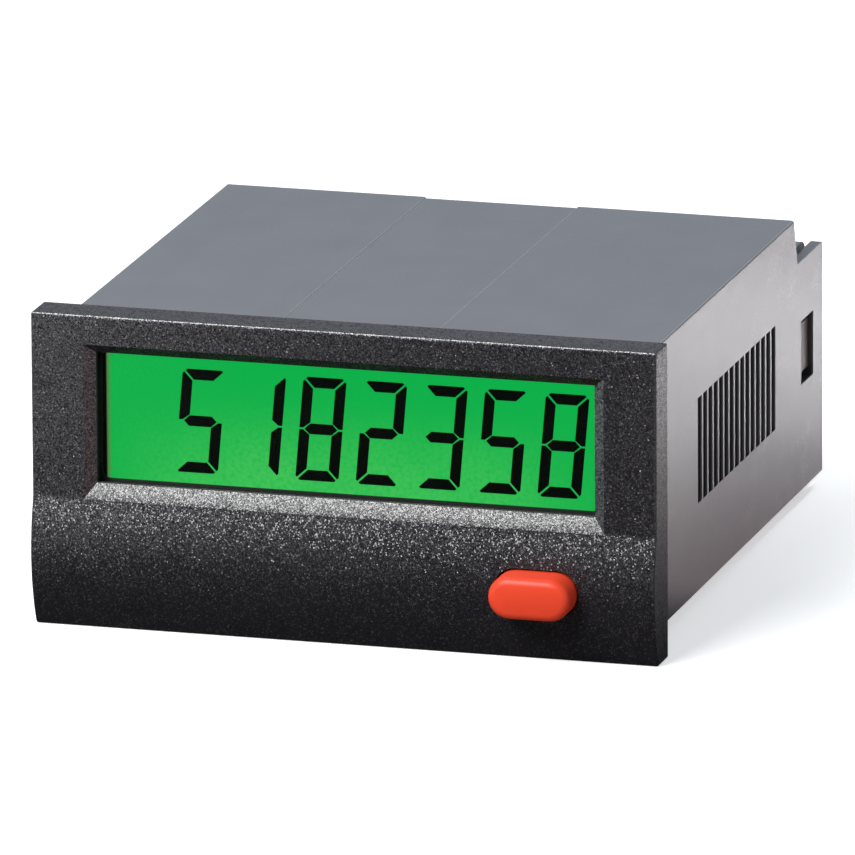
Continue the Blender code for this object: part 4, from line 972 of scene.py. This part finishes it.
@dataclass
class Studio:
    """Floor, surroundings, lamps and camera."""

    floor_radius: float = 3.0
    floor_sides: int = 96
    floor_drop: float = 0.00002
    finish: StageFinish = StageFinish()
    lamps: tuple[SoftBox, ...] = (
        SoftBox(
            "key_soft_box", azimuth=-40.0, elevation=50.0, distance=0.5, width=0.14, height=0.14, level=0.5,
        ),
        SoftBox(
            "front_soft_box", azimuth=-17.0, elevation=39.0, distance=0.6, width=0.2, height=0.2, level=0.70,
        ),
        SoftBox(
            "left_card", azimuth=-20.0, elevation=8.0, distance=0.06, width=0.012, height=0.012, level=0.13,
            aim=(-0.024, -0.028, 0.012),
        ),
        SoftBox(
            "far_left_card", azimuth=-86.0, elevation=5.0, distance=0.20, width=0.1, height=0.06, level=0.06,
            colour=(0.88, 0.97, 1.0),
        ),
        SoftBox(
            "right_card", azimuth=56.0, elevation=6.0, distance=0.20, width=0.08, height=0.05, level=0.05,
            colour=(1.0, 0.74, 0.72),
        ),
        SoftBox(
            "backdrop_lamp", azimuth=150.0, elevation=60.0, distance=0.4, width=0.05, height=0.05, level=1.95,
            colour=(0.98, 0.98, 1.0), spread=14.0, aim=(0.040, 0.076, 0.0),
        ),
    )

    def build(self) -> None:
        """Stand up the camera, the surroundings, the lamps and the floor."""
        CameraStand().build()
        self.finish.surroundings()
        for lamp in self.lamps:
            lamp.build()
        body = bmesh.new()
        bmesh.ops.create_circle(body, cap_ends=True, segments=self.floor_sides, radius=self.floor_radius)
        mesh = bpy.data.meshes.new("floor")
        body.to_mesh(mesh)
        body.free()
        mesh.materials.append(self.finish.floor())
        ground = bpy.data.objects.new("floor", mesh)
        ground.location.z = -self.floor_drop
        bpy.context.scene.collection.objects.link(ground)


@dataclass
class Wardrobe:
    """Every finish of the counter by the record's slot, and the pale finish of the housing's flash lines, a
    painted highlight.
    """

    finishes: dict[str, Finish] = field(default_factory=dict)
    # Painted highlight: the flash lines are paler than the housing so that they read as lit lines.
    flash: Finish = SatinMoulding(
        "housing_grey", variant="_flash", base=(0.30, 0.31, 0.32), roughness=0.45, shine=0.5,
    )

    def __post_init__(self) -> None:
        """List the finishes."""
        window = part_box("display_window")
        glass_low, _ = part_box("lcd_front_glass")
        _, block_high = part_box("terminal_block")
        for finish in (
            SparkleGrain("bezel_black"),
            SatinMoulding("housing_grey", edge_highlight_height=22.80, groove_face=22.4),
            SatinMoulding(
                "terminal_block_grey", base=(0.10, 0.12, 0.12), roughness=0.4,
                hook_face=block_high[0] * PER_MILLIMETRE,
            ),
            SatinMoulding(
                "button_orange", base=(0.75, 0.055, 0.018), mottle=0.04, roughness=0.42, shine=0.35,
            ),
            ClearPane("window_clear"),
            LitDisplay(
                "display_green", window=(Vector(window[0]), Vector(window[1])),
                glass_front=glass_low[1] + DIGIT_RELIEF,
            ),
            ClearMoulding("rear_glass", tint=(0.6, 0.75, 0.65), haze=0.7),
            ClearMoulding("light_guide_clear", tint=(0.85, 0.9, 0.85), haze=0.4),
            SatinMoulding("holder_white", base=(0.8, 0.8, 0.78), mottle=0.02),
            GlossMoulding("lamp_green", base=(0.2, 0.8, 0.3), glow=1.0),
            StripedRubber("contact_rubber"),
            SolderResist("board_green"),
            GlossMoulding("moulded_black", base=(0.02, 0.02, 0.02), roughness=0.35),
            PlatedMetal("plated_steel"),
            PlatedMetal("plated_brass", bright=(0.74, 0.64, 0.40), dull=(0.55, 0.46, 0.28)),
            GlossMoulding("battery_sleeve", base=(0.08, 0.22, 0.42), roughness=0.2),
        ):
            self.finishes[finish.slot] = finish

    def dress(self, node: bpy.types.Object, slot: str) -> None:
        """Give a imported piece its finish.

        Args:
            node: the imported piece.
            slot: the record's slot that it takes.
        """
        for holder in node.material_slots:
            holder.material = self.finishes[slot].material()
        LOG.info("dressed %s in %s", node.name, slot)


def add_piece(name: str, body: bmesh.types.BMesh, finish: Finish, smooth_angle: float) -> bpy.types.Object:
    """Turn a body into a finished piece.

    Args:
        name: the piece's name.
        body: its surface, which is used up.
        finish: its finish.
        smooth_angle: edges that turn less than this many degrees are shaded smooth.

    Returns:
        The piece.
    """
    mesh = bpy.data.meshes.new(name)
    body.normal_update()
    body.to_mesh(mesh)
    body.free()
    mesh.shade_smooth()
    mesh.set_sharp_from_angle(angle=math.radians(smooth_angle))
    mesh.materials.append(finish.material())
    piece = bpy.data.objects.new(name, mesh)
    bpy.context.scene.collection.objects.link(piece)
    LOG.info("made %s, %d faces", name, len(mesh.polygons))
    return piece


@dataclass(frozen=True)
class HousingTop:
    """The flash line along each side of the shallow recess in the housing's top, pale as a painted highlight.

    A line has a flat crest over the recess's edge and a slope down to a foot on its floor, with a bend
    on the way. The crest's and the bend's shares are of the crest, the foot and the depth.
    """

    recess_left: float = 0.0066
    recess_right: float = 0.0055
    recess_depth: float = 0.00012
    front_lip: float = 0.0004
    rear_notch: float = 0.0085
    crest: float = 0.00004
    crest_share: float = 0.6
    rise: float = 0.00001
    foot: float = 0.00016
    bend_share: float = 0.5
    bend_depth_share: float = 0.55
    smooth_angle: float = 50.0

    def build(self, finish: Finish) -> None:
        """Lay both lines in their finish."""
        self._line("flash_line_left", -self.recess_left, 1, finish)
        self._line("flash_line_right", self.recess_right, -1, finish)

    def _line(self, name: str, across: float, inward: int, finish: Finish) -> bpy.types.Object:
        """Sweep one line's section along the top: a narrow crest and a slope down into the recess.

        Args:
            name: the line's name.
            across: where the recess's wall is.
            inward: the recess's side, 1 or -1.
            finish: the finish it takes.

        Returns:
            The line.
        """
        low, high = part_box("housing")
        top = high[2]
        floor = top - self.recess_depth
        crest = self.crest * self.crest_share
        section = (
            (-self.crest, top - self.rise), (-crest, top + self.rise), (crest, top + self.rise),
            (self.foot * self.bend_share, top - self.recess_depth * self.bend_depth_share),
            (self.foot, floor), (-self.crest, floor),
        )
        body = bmesh.new()
        near, far = (
            [body.verts.new((across + inward * x, depth, z)) for x, z in section]
            for depth in (low[1] + self.front_lip, high[1] - self.rear_notch)
        )
        body.faces.new(near)
        body.faces.new(far[::-1])
        for i, corner in enumerate(near):
            j = (i + 1) % len(near)
            body.faces.new((near[j], corner, far[i], far[j]))
        bmesh.ops.recalc_face_normals(body, faces=body.faces)
        piece = add_piece(name, body, finish, self.smooth_angle)
        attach(piece, "counter_case")
        return piece


@dataclass(frozen=True)
class SoftenedPiece:
    """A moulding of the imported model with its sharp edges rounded, as a mould leaves them.

    Angles are in degrees. Edges that turn less than the flat angle are dissolved first.
    """

    node: str
    name: str
    ride: str
    radius: float
    sharp_angle: float = 30.0
    flat_angle: float = 0.5
    steps: int = 3
    roundness: float = 0.5
    weld: float = 0.0000002

    def build(self, finish: Finish) -> bpy.types.Object:
        """Round a copy of the node and put it in the node's place.

        Args:
            finish: the finish it takes.

        Returns:
            The piece.
        """
        body = bmesh.new()
        body.from_mesh(frame["nodes"][self.node].data)
        bmesh.ops.remove_doubles(body, verts=body.verts, dist=self.weld)
        flat = math.radians(self.flat_angle)
        bmesh.ops.dissolve_limit(body, angle_limit=flat, verts=body.verts, edges=body.edges)
        sharp = [edge for edge in body.edges if edge.calc_face_angle(0.0) > math.radians(self.sharp_angle)]
        bmesh.ops.bevel(
            body, geom=sharp, offset=self.radius, segments=self.steps, profile=self.roundness,
            affect="EDGES", clamp_overlap=True,
        )
        piece = add_piece(self.name, body, finish, self.sharp_angle)
        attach(piece, self.ride)
        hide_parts(self.node)
        return piece


def main() -> None:
    """Set the stage and dress every piece."""
    logging.basicConfig(level=logging.INFO, format="%(message)s")
    bpy.context.scene.view_settings.view_transform = "Standard"
    Studio().build()
    wardrobe = Wardrobe()
    for entry in frame["record"]["subparts"]:
        wardrobe.dress(frame["nodes"][entry["node"]], entry["material_slot"])
    HousingTop().build(wardrobe.flash)
    button = SoftenedPiece("reset_button", "reset_button_rounded", ride="reset_button", radius=0.00012)
    button.build(wardrobe.finishes["button_orange"])


if __name__ == "__main__":
    main()
